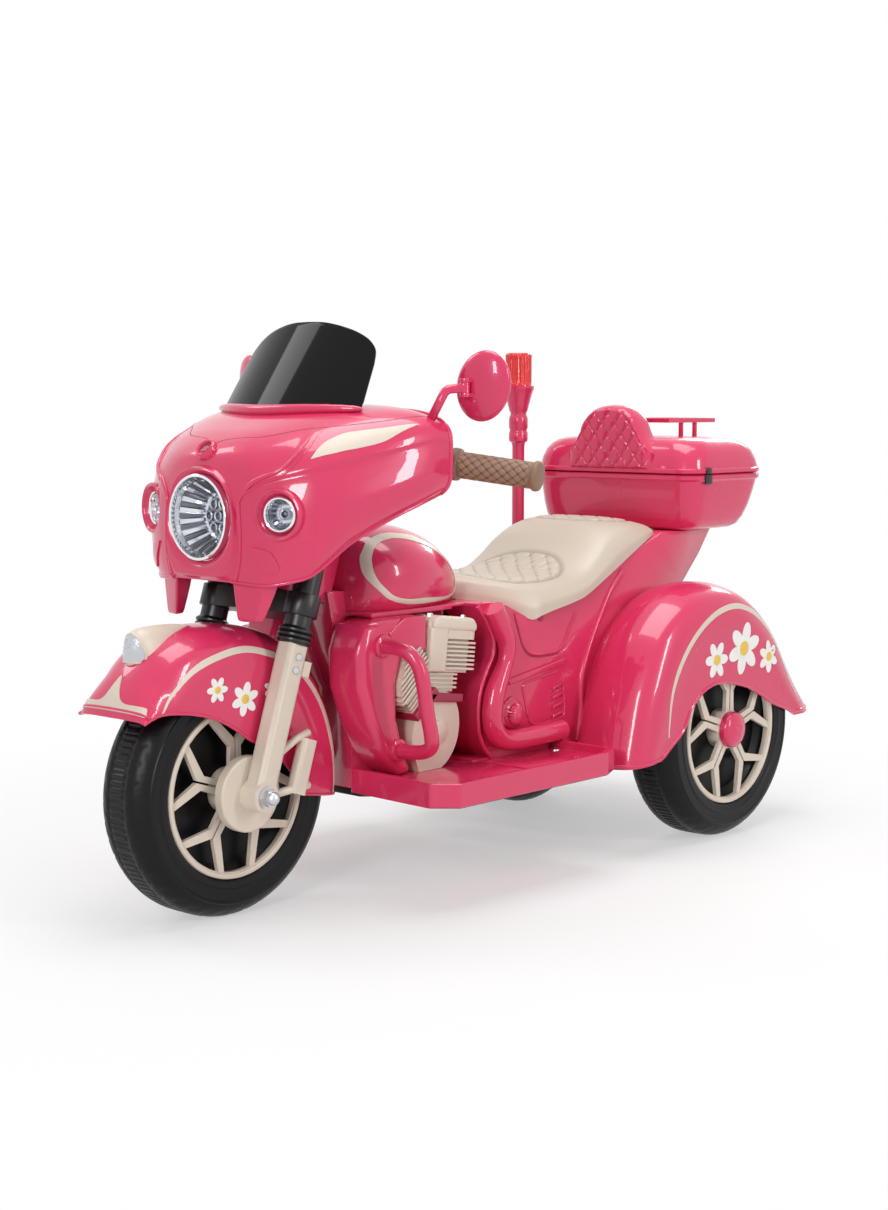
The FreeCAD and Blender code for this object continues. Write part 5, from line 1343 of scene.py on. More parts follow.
# A mirror's glass: half width and height in metres, then the share of these and the rise at each ring
GLASS_HALF = (0.0245, 0.034)
GLASS_RINGS = [(0.0, 0.9), (0.5, 0.85), (0.96, 0.7), (1.0, 0.4), (1.0, -1.0), (0.0, -1.0)]
GLASS_SIDES = 48


class TRIKE_OT_controls(bpy.types.Operator):
    """Carves the grips and dresses mirrors, dash and fork."""

    bl_idname = "trike.controls"
    bl_label = "Controls"

    def execute(self, context):
        self.grips()
        self.mirrors()
        self.fork()
        self.dash()
        return {"FINISHED"}

    def grips(self):
        """Grips with a carved lattice between plain collars, and black stubs inboard of them."""
        end, inner = at(268, -112, 516), at(156, -154, 531)
        inward = (inner - end).normalized()
        length = 108
        profile = [(0, -4), (14, -4), (17, -3), (18, -0.5), (18, 2.5), (17, 4), (15.6, 5)]
        body = [(15.6, 5 + (length - 17) * k / 60) for k in range(1, 60)]
        profile += body + [(16, length - 11), (19, length - 9.5), (19.5, length - 7), (19.5, length - 2),
                           (18.5, length), (11, length), (0, length)]

        def carve(angle, row, radius):
            along = profile[row][1]
            if not 7 < along < length - 12:
                return 0.0
            p = angle / (2 * pi) * GRIP_DIAMONDS + along / GRIP_PITCH
            q = angle / (2 * pi) * GRIP_DIAMONDS - along / GRIP_PITCH
            height = min(1.0, 1.7 * abs(sin(pi * p) * sin(pi * q)) ** 0.5)
            return GRIP_RELIEF * (height - 0.8)

        grip = turned("grip_left", profile, end, inward, 108, relief=carve)
        # The relief attribute holds the painted shade: 0 deep in the carving, 1 on its ridges, and 0.75 on
        # the plain ends
        shade = grip.data.attributes.new("relief", "FLOAT", "POINT")
        for vertex in grip.data.vertices:
            away = vertex.co - end
            along = away.dot(inward)
            radius = (away - inward * along).length * 1000
            carved = 7 < along * 1000 < length - 12
            shade.data[vertex.index].value = fade(radius, 14.7, 15.9) if carved else 0.75
        finish_group("carved_grips", [grip], "steering", "tan_grip", ["grips"], sharp=50)
        neck = [(0, 0), (13, 0), (14, 1.5), (14, 12), (12.6, 14), (12.6, 18), (14, 20), (14, 24), (12, 26),
                (0, 26)]
        stub = turned("bar_stub_left", neck, end + inward * (length + 0.5) / 1000, inward, 40)
        finish_group("bar_stubs", [stub], "steering", "black_plastic")

    def mirrors(self):
        """Bright glass set in the back of each mirror."""
        for name, side in (("left", 1), ("right", -1)):
            low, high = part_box(f"mirror_{name}")
            middle = (low + high) / 2
            lean, turn = radians(20), radians(18)
            across = Vector((cos(turn), sin(turn), 0))
            up = Vector((sin(lean) * cos(turn), sin(lean) * sin(turn), cos(lean)))
            across = (across - up * across.dot(up)).normalized()
            out = Vector((-sin(turn), cos(turn), 0))
            centre = at(200, -130, 621) + out * 0.0058

            def place(column, row):
                angle = 2 * pi * (column % GLASS_SIDES) / GLASS_SIDES
                reach, rise = GLASS_RINGS[row]
                point = centre + across * GLASS_HALF[0] * reach * cos(angle)
                point = point + up * GLASS_HALF[1] * reach * sin(angle) + out * rise / 1000
                return Vector((side * point.x, point.y, point.z))

            glass = formed_sheet(f"mirror_glass_{name}", GLASS_SIDES, 5, place, closed=True)
            finish_piece(glass, f"{name}_mirror", "mirror_glass")
            if middle.x * side < 0:
                raise RuntimeError("a mirror is on the wrong side")

    def fork(self):
        """Ribbed dust seals on the fork tubes and screws on the legs."""
        seals, bolts = [], []
        for side in (1, -1):
            profile = [(17, 0)]
            for k in range(3):
                low = 1 + 6 * k
                profile += [(19.6, low), (20.6, low + 1.4), (20.6, low + 3.2), (19.6, low + 4.6),
                            (18, low + 5.2)]
            profile += [(17, 20), (16.4, 20), (16.4, 0), (17, 0)]
            seals.append(turned("fork_seal", profile, steer(side * 74, -FORK_OFFSET, 181), STEER_AXIS, 48))
            head = [(0, 3), (3.4, 3), (4.4, 2.2), (4.6, 0), (0, 0)]
            for up in (150, 166):
                bolts.append(turned("leg_screw", head, steer(side * 87, -FORK_OFFSET, up), (side, 0, 0), 20))
        finish_piece(joined("fork_seals", seals), "steering", "black_plastic")
        finish_piece(joined("leg_screws", bolts), "steering", "zinc_steel")

    def dash(self):
        """A plain dial in the dash's gauge ring."""
        lean = radians(30)
        normal = Vector((0, cos(lean), sin(lean)))
        along = Vector((0, -sin(lean), cos(lean)))
        middle = at(0, -202, 548) + along * 0.024
        face = turned("dash_dial", [(0, 5.6), (17, 5.6), (18, 6.4), (21, 6.4), (22, 5.2), (22, 4), (0, 4)],
                      middle, normal, 48)
        finish_piece(face, "steering", "black_plastic")
        marks = []
        for k in range(11):
            a = radians(220 - 26 * k)
            across = Vector((1, 0, 0)) * cos(a) + along * sin(a)
            square = across.cross(normal)
            centre = middle + across * 0.0135 + normal * 0.0054
            corners = []
            for u, v in ((-1, -1), (1, -1), (1, 1), (-1, 1)):
                corners.append(centre + across * 0.002 * u + square * 0.0005 * v)
            marks.append(slab("dial_mark", corners, normal * 0.6, 0.1, 1))
        finish_piece(joined("dial_marks", marks), "steering", "print_white", slot="reflector")


# Tank, cowls and engine

# Each station: Y, half width, lower edge, top, squareness
TANK = [
    (-212, 30, 349.3, 404, 2.2), (-206, 56, 349.3, 430, 2.2), (-190, 84, 349.3, 444, 2.2),
    (-155, 98, 349.3, 451, 2.2), (-110, 97, 349.3, 450, 2.2), (-65, 84, 349.3, 436, 2.2),
    (-30, 64, 349.3, 410, 2.2), (-8, 42, 349.3, 384, 2.2), (-4, 20, 349.3, 366, 2.2),
]
TANK_CORE = at(0, -110, 380)
# The tank's trim ring from the side: Y, Z
TANK_RING = [(-201, 402), (-198, 418), (-185, 433), (-160, 441), (-133, 441), (-97, 432), (-60, 411),
             (-30, 384), (-24, 366), (-40, 356), (-97, 354), (-145, 356), (-176, 364), (-192, 378),
             (-199, 390)]
TANK_RING_MIDDLE, TANK_RING_WIDTH = (-115, 397), 7.5


def tank_side(y, z):
    """A point on the tank's left side at a place along and up."""
    half, edge, top, power = eased(TANK, y)
    rise = (top - edge) / (1 + sin(HOOD_CURL) ** (2 / power))
    height = min(abs(z - (top - rise)) / rise, 0.999)
    return at(half * (1 - height ** power) ** (1 / power), y, z)


class TRIKE_OT_tank(bpy.types.Operator):
    """Forms the tank cover with its beige trim rings."""

    bl_idname = "trike.tank"
    bl_label = "Tank"

    def execute(self, context):
        columns, rows = 60, 60
        first, last = TANK[0][0], TANK[-1][0]

        def place(column, row):
            y = first + (last - first) * (0.5 - 0.5 * cos(pi * column / columns))
            x, z = hood_point(*eased(TANK, y), row / rows)
            return at(x, y, z)

        cover = formed_sheet("tank_shell", columns, rows, place)
        face_away(cover, TANK_CORE)
        thicken(cover, context.scene.trike_sizes.wall)
        finish_piece(cover, "body", "gloss_pink", ["tank_cover"])
        loop = smooth_line(TANK_RING, 110, closed=True)

        def band(column, row):
            y, z = loop[column % len(loop)]
            inward = Vector((TANK_RING_MIDDLE[0] - y, TANK_RING_MIDDLE[1] - z)).normalized()
            inward = inward * TANK_RING_WIDTH * row / 4
            point = tank_side(y + inward.x, z + inward.y)
            out = Vector((1.0, 0.0, 0.25 if z > 400 else 0.0)).normalized()
            return point + out * (0.9 + 0.5 * sin(pi * row / 4)) / 1000

        ring = formed_sheet("tank_ring_left", len(loop), 4, band)
        merge_points(ring)
        face_away(ring, TANK_CORE)
        thicken(ring, 0.0022)
        finish_both_sides(ring, "body", "satin_beige")
        cap = [(0, 9), (12, 8.6), (15.5, 7.4), (17, 5), (17, -6), (0, -6)]
        lid = turned("tank_cap", cap, at(0, -140, 450), (0, 0, 1), 48,
                     relief=lambda a, row, r: 0.5 * cos(12 * a) if row in (3, 4) else 0.0)
        finish_piece(lid, "body", "gloss_pink")
        return {"FINISHED"}


# The cowl and the exhaust pipe from the side: Y, Z
COWL = [
    (-130, 342.7), (-200, 342.7), (-232, 336), (-245, 305), (-243, 262), (-226, 219), (-205, 182),
    (-188, 160), (-172, 148.3), (-148, 148.3), (-165, 178), (-176, 220), (-178, 262), (-168, 292),
    (-130, 312),
]
EXHAUST = [(-20, 343), (-8, 324), (5, 301), (6, 281), (-4, 258), (-17, 234), (-22, 209), (-18, 189),
           (-3, 175), (22, 170), (60, 170), (98, 171), (118, 171.5)]
EXHAUST_X = 120.5
# The front edge of the body's side: Y, Z
SIDE_EDGE = [(-36, 346), (-29, 338), (-16, 320), (-6, 300), (-7, 283), (-19, 264), (-29, 244), (-34.5, 224),
             (-35.5, 204), (-33, 183), (-24, 165), (-10, 150)]
# Just inside the side's face, the inner end of its front wall, and a place ahead of all of it
SIDE_X, SIDE_INNER, SIDE_AHEAD = 107.8, 46, -60
# The left crash bar's middle line: X, Y, Z
CRASH_BAR = [(104, -206, 311), (126, -206, 311), (145, -204, 307), (158, -200, 294), (163, -196, 272),
             (163, -189, 236), (163, -182, 208), (160, -178, 192), (148, -177, 184), (126, -178, 181),
             (104, -180, 181)]


class TRIKE_OT_engine(bpy.types.Operator):
    """Forms the cowls and exhaust pipes and dresses the dummy engine."""

    bl_idname = "trike.engine"
    bl_label = "Engine"

    def execute(self, context):
        cowl = slab("cowl_left", upright(45.3, COWL), (60.7, 0, 0))
        modify(cowl, "BEVEL", width=0.013, segments=5, limit_method="ANGLE", angle_limit=radians(60),
               use_clamp_overlap=True)
        finish_group("rounded_cowls", [cowl], "body", "gloss_pink", ["front_cowls"], sharp=50)
        bars = [tube("crash_bar", [at(*point) for point in smooth_line(CRASH_BAR, 80)], 9.0, 24)]
        for y, z in ((-206, 311), (-180, 181)):
            ring = [(9.2, -1), (13.5, -1), (14.5, 1), (14, 4.5), (11, 6.4), (9.2, 6.4), (9.2, -1)]
            bars.append(turned("crash_bar_boss", ring, at(105, y, z), (1, 0, 0), 32))
        gusset = upright(101, ((-190, 306), (-196, 326), (-168, 342), (-132, 342), (-131, 299)))
        bars.append(slab("cowl_gusset", gusset, (7.5, 0, 0), 2.0, 3))
        finish_group("crash_bar_loops", bars, "body", "gloss_pink", ["crash_bars"])
        line = upright(EXHAUST_X, smooth_line(EXHAUST, 110))
        pipe = tube("exhaust_left", line, lambda t: 13.5 - 3.0 * exp(-((t - 0.25) / 0.08) ** 2), 28)
        finish_group("exhaust_tubes", [pipe], "body", "gloss_pink", ["exhaust_pipes"])
        self.dress()
        return {"FINISHED"}

    def dress(self):
        """Pink bands in painted shade at the cylinders' feet, head bolts and a round cover on the crankcase.
        """
        crank = Vector((0, -104, 205))
        bands, bolts, covers = [], [], []
        for lean in (-7, 40):
            turn = Matrix.Rotation(radians(lean), 3, "X")

            def leaned(x, y, z):
                point = turn @ Vector((0, y, z)) + crank
                return at(x, point.y, point.z)

            rear = 40 if lean < 0 else 27
            low = 27 if lean < 0 else 34
            band = ((-29, 0), (rear - 6, 0), (rear - 6, 11), (-29, 11))
            corners = [leaned(60, y, low + up) for y, up in band]
            bands.append(slab("cylinder_band", corners, (51.5, 0, 0), 1.6, 3))
            if lean < 0:
                outline = ((-33, 116), (48, 116), (48, 126), (40, 133.5), (-25, 133.5), (-33, 126))
                crown = [leaned(58, y, z) for y, z in outline]
                covers.append(slab("rocker_cover", crown, (56.5, 0, 0), 6.0, 5))
                block = [leaned(58, y, z) for y, z in ((-36, 64), (-4, 64), (-4, 124), (-36, 118))]
                covers.append(slab("barrel_block", block, (55.5, 0, 0), 3.5, 4))
            axis = turn @ Vector((0, 0, 1))
            for y in (-24, 38) if lean < 0 else (24,):
                head = [(0, 4), (3.2, 4), (4, 3.2), (4, -2), (0, -2)]
                bolts.append(turned("head_bolt", head, leaned(96, y, 132), axis, 6))
        plate = [(0, 5.2), (11, 5.0), (13, 4.0), (13.6, 2.4), (17, 2.4), (19, 1.2), (19, -4), (0, -4)]
        covers.append(turned("crank_cover", plate, at(104, -108, 196), (1, 0, 0), 40))
        groups = [("cylinder_bands", bands, "deep_pink"), ("head_bolts", bolts, "zinc_steel"),
                  ("crank_covers", covers, "satin_beige")]
        for name, group, shade in groups:
            finish_group(name, group, "body", shade)


class TRIKE_OT_body_sides(bpy.types.Operator):
    """Dresses the body's sides and the footboards with the mouldings that the plain shells lack."""

    bl_idname = "trike.body_sides"
    bl_label = "Body sides"

    def execute(self, context):
        # The second list holds pieces in the pink of painted shade: a line under the panel's edge, vent
        # slots, screw heads and board tabs
        pink, painted_shade, steel = [], [], []
        x = SIDE_X
        edge = smooth_line(SIDE_EDGE, 70)
        pink.append(tube("side_flange", upright(SIDE_X + 0.8, edge), 3.2, 12))
        wall = formed_sheet("side_front", 69, 6, lambda c, r: at(SIDE_INNER + 61 * r / 6, *edge[c]))
        thicken(wall, context.scene.trike_sizes.wall)
        pink.append(wall)
        panel = smooth_line([(36, 332), (44, 312), (52, 292), (62, 280), (78, 274.5), (104, 273.5),
                             (126, 275.5), (138, 288), (146, 302), (160, 322)], 60)
        pink.append(tube("side_panel_edge", upright(x, panel), 2.4, 10))
        # A line of painted shade under the panel's raised edge
        painted_shade.append(tube("side_panel_line", [at(x, y - 0.6, z - 3.2) for y, z in panel], 1.2, 8))
        ridge = upright(x, ((20, 247), (71, 255), (135, 264.5), (140, 258), (71, 247), (22, 240)))
        pink.append(slab("side_ridge", ridge, (5.0, 0, 0), 1.8, 3))
        triangle = [(50, 238), (134, 249), (139, 186), (92, 180), (66, 184)]
        pink.append(self.frame_of("side_web", triangle, x, 4.0))
        for k in range(4):
            z = 229 - 12.5 * k
            fin = upright(x, ((112, z - 5.5), (135, z), (135, z + 4.2), (112, z - 1.3)))
            pink.append(slab("vent_fin", fin, (3.0, 0, 0), 0.8, 2))
            # A slot of painted shade under each fin
            slot = upright(x, ((111, z - 8.4), (136, z - 2.8), (136, z - 0.8), (111, z - 6.2)))
            painted_shade.append(slab("vent_slot", slot, (0.9, 0, 0), 0.3, 2))
        boss = [(0, 13.5), (8, 13), (11, 11.6), (13.5, 8.6), (15, 6), (18, 4.6), (20, 2.6), (21, -1), (0, -1)]
        pink.append(turned("side_boss", boss, at(x, 31, 201), (1, 0, 0), 80,
                           relief=lambda a, row, r: 0.9 * cos(20 * a) if row in (2, 3, 4) else 0.0))
        base = [(8, 190), (10, 214), (30, 226), (50, 208), (62, 188), (48, 184), (24, 184)]
        pink.append(slab("boss_base", upright(x, smooth_corners(base, 6)), (3.4, 0, 0), 1.4, 3))
        rib = smooth_line([(166, 150), (173, 190), (173, 230), (187, 268), (208, 306), (232, 342),
                           (262, 372)], 60)
        pink.append(tube("side_arch", upright(x, rib), 4.6, 12))
        for y, z in ((-14, 340), (88, 322), (150, 160)):
            head = [(0, 0.8), (2.2, 0.9), (4.2, 1.4), (5.2, 1.0), (5.4, -1), (0, -1)]
            painted_shade.append(turned("side_screw", head, at(108, y, z), (1, 0, 0), 20))
        self.open_fronts(edge)
        self.boards(pink, painted_shade, steel)
        groups = [("side_mouldings", pink, "gloss_pink"), ("side_recesses", painted_shade, "deep_pink"),
                  ("board_screws", steel, "zinc_steel")]
        for name, group, shade in groups:
            finish_group(name, group, "body", shade)
        return {"FINISHED"}

    def open_fronts(self, edge):
        """Cuts the plain shells' front corners back to the curved edge of the body's side."""
        outline = [at(SIDE_INNER, y + 0.8, z) for y, z in edge]
        outline += [at(SIDE_INNER, SIDE_AHEAD, edge[-1][1]), at(SIDE_INNER, SIDE_AHEAD, edge[0][1])]
        for side in ("left", "right"):
            cutter = slab("side_cut", outline, (80, 0, 0))
            if side == "right":
                cutter = mirrored(cutter, "side_cut_right")
            only(frame["nodes"][f"body_shell_{side}"])
            bpy.ops.object.duplicate()
            shell = started(f"body_side_{side}")
            for modifier in list(shell.modifiers):
                bpy.ops.object.modifier_apply(modifier=modifier.name)
            modify(shell, "BOOLEAN", object=cutter, operation="DIFFERENCE", solver="EXACT")
            finish_piece(shell, "body", "gloss_pink", [f"body_shell_{side}"])
            for spare in [piece for piece in bpy.data.objects if piece.name.startswith("side_cut")]:
                only(spare)
                bpy.ops.object.delete()

    def frame_of(self, name, corners, x, width):
        """A raised frame round a side panel with these corners."""
        line = smooth_corners(corners, 10)
        return tube(name, upright(x, line), width / 2, 8, closed=True)

    def boards(self, pink, painted_shade, steel):
        """Raised plates on the footboards, tabs under their outer edge and screws at the corners."""
        plates = [[(114, -196), (196, -202), (206, -192), (206, -44), (114, -44)],
                  [(116, -34), (206, -34), (206, 70), (196, 96), (142, 96), (142, 10), (116, 10)]]
        for plate in plates:
            corners = [at(board_x, y, 147.6) for board_x, y in smooth_corners(plate, 5)]
            pink.append(slab("board_plate", corners, (0, 0, 2.6), 1.2, 3))
        sill = [at(board_x, y, 146) for board_x,
                y in ((SIDE_INNER, -44), (107, -44), (107, 10), (SIDE_INNER, 10))]
        pink.append(slab("board_sill", sill, (0, 0, 4.4), 1.0, 2))
        # Tabs of painted shade under the board's outer edge
        for y in (-110, 10):
            corners = [at(222.5, y + dy, 129) for dy in (0, 16)] + [at(222.5, y + dy, 137) for dy in (16, 0)]
            painted_shade.append(slab("board_tab", corners, (2.0, 0, 0), 0.6, 2))
        for board_x, y in ((206, -190), (206, 82), (128, 96)):
            head = [(0, 1.2), (2, 1.3), (4, 2.2), (5.6, 1.6), (6, -1), (0, -1)]
            steel.append(turned("board_screw", head, at(board_x, y, 148), (0, 0, 1), 20))


def smooth_corners(corners, radius):
    """A closed outline with each corner rounded off."""
    line = []
    for before, here, after in zip(corners[-1:] + corners[:-1], corners, corners[1:] + corners[:1]):
        here = Vector(here)
        back = (Vector(before) - here).normalized() * radius
        ahead = (Vector(after) - here).normalized() * radius
        for k in range(7):
            t = k / 6
            line.append(tuple(here + back * (1 - t) ** 2 + ahead * t ** 2))
    return line


# Seat

# Each station: Y, half width, edge height, crown height
SEAT = [
    (-14, 34, 344, 352), (-7.7, 44, 340, 376), (25, 78, 330, 379), (67, 112, 314, 376), (105, 117, 322, 375),
    (138, 117, 330, 376), (160, 116, 334, 378), (185, 115, 340, 386), (210, 114, 352, 402),
    (235, 113, 365, 422), (265, 111, 379, 437), (300, 108, 395, 441), (346, 98, 408, 433),
    (355, 90, 414, 421),
]
# The body's edge under the seat: Y, Z
SEAT_LINE = [(-20, 349), (-8, 349), (20, 343), (52, 328), (67, 320.6), (82, 325), (110, 331), (145, 337),
             (175, 344), (230, 369), (300, 401), (345, 416), (360, 420)]
# Each quilted oval: middle Y, half length, half width
QUILTS = [(112, 92, 92), (306, 40, 76)]


class TRIKE_OT_seat(bpy.types.Operator):
    """Forms the moulded saddle with two quilted ovals."""

    bl_idname = "trike.seat"
    bl_label = "Seat"

    def execute(self, context):
        side = context.scene.trike_sizes.quilt * 1000
        columns, rows = 190, 170
        first, last = SEAT[0][0], SEAT[-1][0]

        def place(column, row):
            y = first + (last - first) * column / columns
            half, low, top = eased(SEAT, y)
            low = max(low, eased(SEAT_LINE, y)[0] + 0.6)
            rise = max(top - low, 4.0)
            edge = [(half, low), (0.985 * half, low + 0.34 * rise), (0.86 * half, low + 0.74 * rise),
                    (0.55 * half, low + 0.95 * rise)]
            over = [(-px, pz) for px, pz in edge] + [(0, top)] + list(reversed(edge))
            x, z = section_at(over, row / rows)
            dish = exp(-((y - 95) / 70) ** 2) * exp(-(x / 60) ** 2)
            z -= 4 * dish
            z += self.quilting(x, y, side)[0]
            return at(x, y, z)

        saddle = formed_sheet("quilted_saddle", columns, rows, place)
        # The relief attribute holds the painted shade: low in the stitch lines and edge groove, 1 on the
        # puffs
        shade = saddle.data.attributes.new("relief", "FLOAT", "POINT")
        for vertex in saddle.data.vertices:
            x, y = vertex.co.x * 1000, vertex.co.y * 1000 - SHIFT
            shade.data[vertex.index].value = self.quilting(x, y, side)[1]
        face_away(saddle, at(0, 160, 330))
        thicken(saddle, context.scene.trike_sizes.wall)
        finish_piece(saddle, "body", "seat_beige", ["seat"], sharp=60)
        return {"FINISHED"}

    def quilting(self, x, y, side):
        """Height of the quilted relief at a place on the seat, and painted shade: 0 in its stitch lines to 1
        elsewhere.
        """
        height, light = 0.0, 1.0
        for middle, long, wide in QUILTS:
            reach = (abs((y - middle) / long) ** 2.4 + abs(x / wide) ** 2.4) ** (1 / 2.4)
            within = 1 - fade(reach, 0.93, 1.0)
            groove = exp(-((reach - 0.985) / 0.03) ** 2)
            puff = quilt_height(x, y, side)
            height += within * (2.6 * puff - 1.6) - 1.8 * groove
            # Painted shade, darker in the stitch lines and along the oval's edge groove
            light *= (1 - within * 0.85 * (1 - fade(puff, 0.08, 0.5))) * (1 - 0.6 * groove)
        return height, light


# Trunk

TRUNK_HALF, TRUNK_FRONT, TRUNK_REAR = 147, 372, 556
TRUNK_WALL = 3.4
# Each level: height, how far sides, front and back draw in, corner radius
BOX_LEVELS = [(420.6, 90, 60, 95, 20), (420.6, 32, 24, 54, 24), (422.4, 22, 15, 44, 26),
              (427, 15, 10, 35, 29), (438, 10, 6.4, 26, 31), (455, 6, 3.8, 16, 33), (474, 3.4, 2.2, 8, 34),
              (490, 1.6, 1, 3, 34), (492.6, -1.2, -1.4, -0.4, 35), (497.6, -1.4, -1.6, -0.6, 35),
              (499.4, 0.4, 0.4, 0.6, 34), (499.4, 4, 4, 4, 30)]
LID_LEVELS = [(508, 6, 6, 7, 30), (500.5, 4, 4, 4, 31), (500.5, 0.4, 0.4, 0.4, 34),
              (502, -1.6, -1.8, -0.6, 35), (506.5, -1.8, -2, -0.8, 35), (508, 0.6, 0.6, 0.6, 34),
              (520, 2.2, 2.2, 3.4, 36), (532, 5, 5, 8, 40), (541, 11, 10, 16, 42), (546, 18, 15, 23, 43),
              (549, 28, 22, 34, 44), (551, 48, 38, 54, 36), (552, 80, 60, 75, 20), (552, 130, 84, 92, 6)]


def rounded_ring(half, front, rear, radius, share):
    """A point of a rounded rectangle, by share of the way round."""
    radius = min(radius, half - 0.5, (rear - front) / 2 - 0.5)
    runs = []
    for x, y, start in ((half - radius, front + radius, -90), (half - radius, rear - radius, 0),
                        (-half + radius, rear - radius, 90), (-half + radius, front + radius, 180)):
        for k in range(9):
            a = radians(start + 90 * k / 8)
            runs.append((x + radius * cos(a), y + radius * sin(a)))
    runs.append(runs[0])
    place = share * (len(runs) - 1)
    k = min(int(place), len(runs) - 2)
    t = place - k
    return [a + (b - a) * t for a, b in zip(runs[k], runs[k + 1])]


def tub(name, levels):
    """The trunk's box or lid: rounded rings level by level, closed at both ends."""
    sides = 108

    def place(column, row):
        z, side, ahead, behind, radius = levels[row]
        x, y = rounded_ring(TRUNK_HALF - side, TRUNK_FRONT + ahead, TRUNK_REAR - behind, radius,
                            column % sides / sides)
        return at(x, y, z)

    piece = formed_sheet(name, sides, len(levels) - 1, place, closed=True)
    cap_ends(piece)
    return piece


def cap_ends(piece):
    """Closes a formed sleeve's open ends."""
    only(piece)
    bpy.ops.object.mode_set(mode="EDIT")
    bpy.ops.mesh.select_all(action="DESELECT")
    bpy.ops.mesh.select_non_manifold()
    bpy.ops.mesh.fill_holes(sides=0)
    bpy.ops.mesh.select_all(action="SELECT")
    bpy.ops.mesh.normals_make_consistent(inside=False)
    bpy.ops.object.mode_set(mode="OBJECT")


# The backrest pad's arch: distance from its middle, height
PAD_ARCH = [(0, 597), (16, 595.5), (28, 592), (38, 585), (46, 575), (52, 562), (58, 551), (66, 541),
            (76, 530)]
# Its half width, foot, front face, depth and lowest back edge
PAD_HALF, PAD_FOOT, PAD_FRONT, PAD_DEPTH, PAD_HEEL = 76.0, 503.0, 374.0, 27.0, 546.0


class TRIKE_OT_trunk(bpy.types.Operator):
    """Forms the trunk box and the lid with its quilted backrest, and adds the latches."""

    bl_idname = "trike.trunk"
    bl_label = "Trunk"

    def execute(self, context):
        side = context.scene.trike_sizes.quilt * 1000
        thick = TRUNK_WALL
        inner = [(z, s + thick, a + thick, b + thick, r - 3) for z, s, a, b, r in BOX_LEVELS[3:8]]
        box_levels = BOX_LEVELS + [(499.0, 4.2, 4.2, 4.6, 30)] + list(reversed(inner))
        box_levels += [(427, 36, 26, 62, 20), (427, 90, 60, 95, 12)]
        box = tub("trunk_tub", box_levels)
        finish_piece(box, "body", "gloss_pink", ["trunk_box"], sharp=40)
        roof = []
        for z, s, a, b, r in LID_LEVELS[6:]:
            roof.append((z - thick, s + thick, a + thick, b + thick, max(r - 3, 4)))
        lid = tub("trunk_cover", list(reversed(roof)) + LID_LEVELS)
        rest = self.backrest(side)
        lid = joined("trunk_cover", [lid, rest])
        finish_piece(lid, "lid", "gloss_pink", ["trunk_lid"], sharp=45)
        self.latches()
        return {"FINISHED"}

    def backrest(self, quilt):
        """A quilted pad that rises in an arch from the lid's front."""
        columns, front, over, back, under = 84, 72, 6, 10, 6
        rows = front + over + back + under

        def place(column, row):
            u = 2 * column / columns - 1
            x = PAD_HALF * copysign(abs(u) ** 0.85, u)
            top = eased(PAD_ARCH, abs(x))[0]
            edge = top - 2.5
            heel = min(PAD_HEEL, edge - 8)
            row = row % rows
            if row <= front:
                z = PAD_FOOT + (edge - PAD_FOOT) * row / front
                rim = min(1 - abs(x) / PAD_HALF, (top - z) / 40, (z - PAD_FOOT) / 40) * 6
                tuft = 3.2 * quilt_height(x, z * 0.78, 0.86 * quilt) * fade(rim, 0.3, 1.2)
                return at(x, PAD_FRONT - 4.5 * fade(rim, 0.0, 1.0) - tuft, z)
            row -= front
            if row <= over:
                t = row / over
                return at(x, PAD_FRONT + PAD_DEPTH * t, top - 2.5 * abs(2 * t - 1) ** 3)
            row -= over
            if row <= back:
                return at(x, PAD_FRONT + PAD_DEPTH, edge + (heel - edge) * row / back)
            t = (row - back) / under
            return at(x, PAD_FRONT + PAD_DEPTH * (1 - t), heel + (PAD_FOOT - heel) * t)

        pad = formed_sheet("backrest_pad", columns, rows, place, closed=True)
        cap_ends(pad)
        return pad

    def latches(self):
        """Black buckles on the box's front corners, with a keeper on the lid."""
        for name, side in (("left", 1), ("right", -1)):
            outline = ((147.5, 486), (147.5, 499), (150, 499), (150, 488))
            corners = [at(side * x, 398, z) for x, z in outline]
            buckle = slab(f"trunk_buckle_{name}", corners, (0, 16, 0), 0.6, 2)
            finish_piece(buckle, "body", "black_plastic")
            outline = ((148.4, 501), (148.4, 510), (150.4, 509), (150.4, 501))
            corners = [at(side * x, 400, z) for x, z in outline]
            keeper = slab(f"trunk_keeper_{name}", corners, (0, 12, 0), 0.6, 2)
            finish_piece(keeper, "lid", "black_plastic")


class TRIKE_OT_beacon(bpy.types.Operator):
    """Turns the beacon's flared pole and its ribbed red lens."""

    bl_idname = "trike.beacon"
    bl_label = "Beacon"

    def execute(self, context):
        x, y, top = -142, 337, 624
        pole = [(0, 346), (17, 346), (17.5, 349), (17, 354), (13, 358), (10, 366), (9, 378), (9, 536),
                (10, 541), (13.6, 544), (14, 547), (14, 556), (12.8, 558), (12.8, 561), (14, 563), (14, 576),
                (13, 580), (11.8, 582), (11.8, 585), (13.5, 588), (16, 598), (19.5, 611), (22, 618),
                (23, 620), (23, top), (20.5, top), (0, top)]
        foot = at(x, y, 0)
        piece = turned("flared_pole", pole, foot, (0, 0, 1), 48)
        finish_piece(piece, "body", "gloss_pink", ["beacon_pole"])
        lens = [(0, top + 0.1), (19, top + 0.1), (19, top + 3), (18.4, top + 4)]
        lens += [(18.4, top + 4 + 40 * k / 12) for k in range(1, 12)]
        lens += [(18.8, top + 44), (18, top + 46.6), (16, top + 48), (0, top + 48)]
        ribs = turned("ribbed_lens", lens, foot, (0, 0, 1), 120,
                      relief=lambda a, row, r: 0.7 * cos(20 * a) if 3 <= row <= 15 else 0.0)
        finish_piece(ribs, "body", "red_lens", ["beacon_lens"], sharp=50)
        return {"FINISHED"}


# Stage

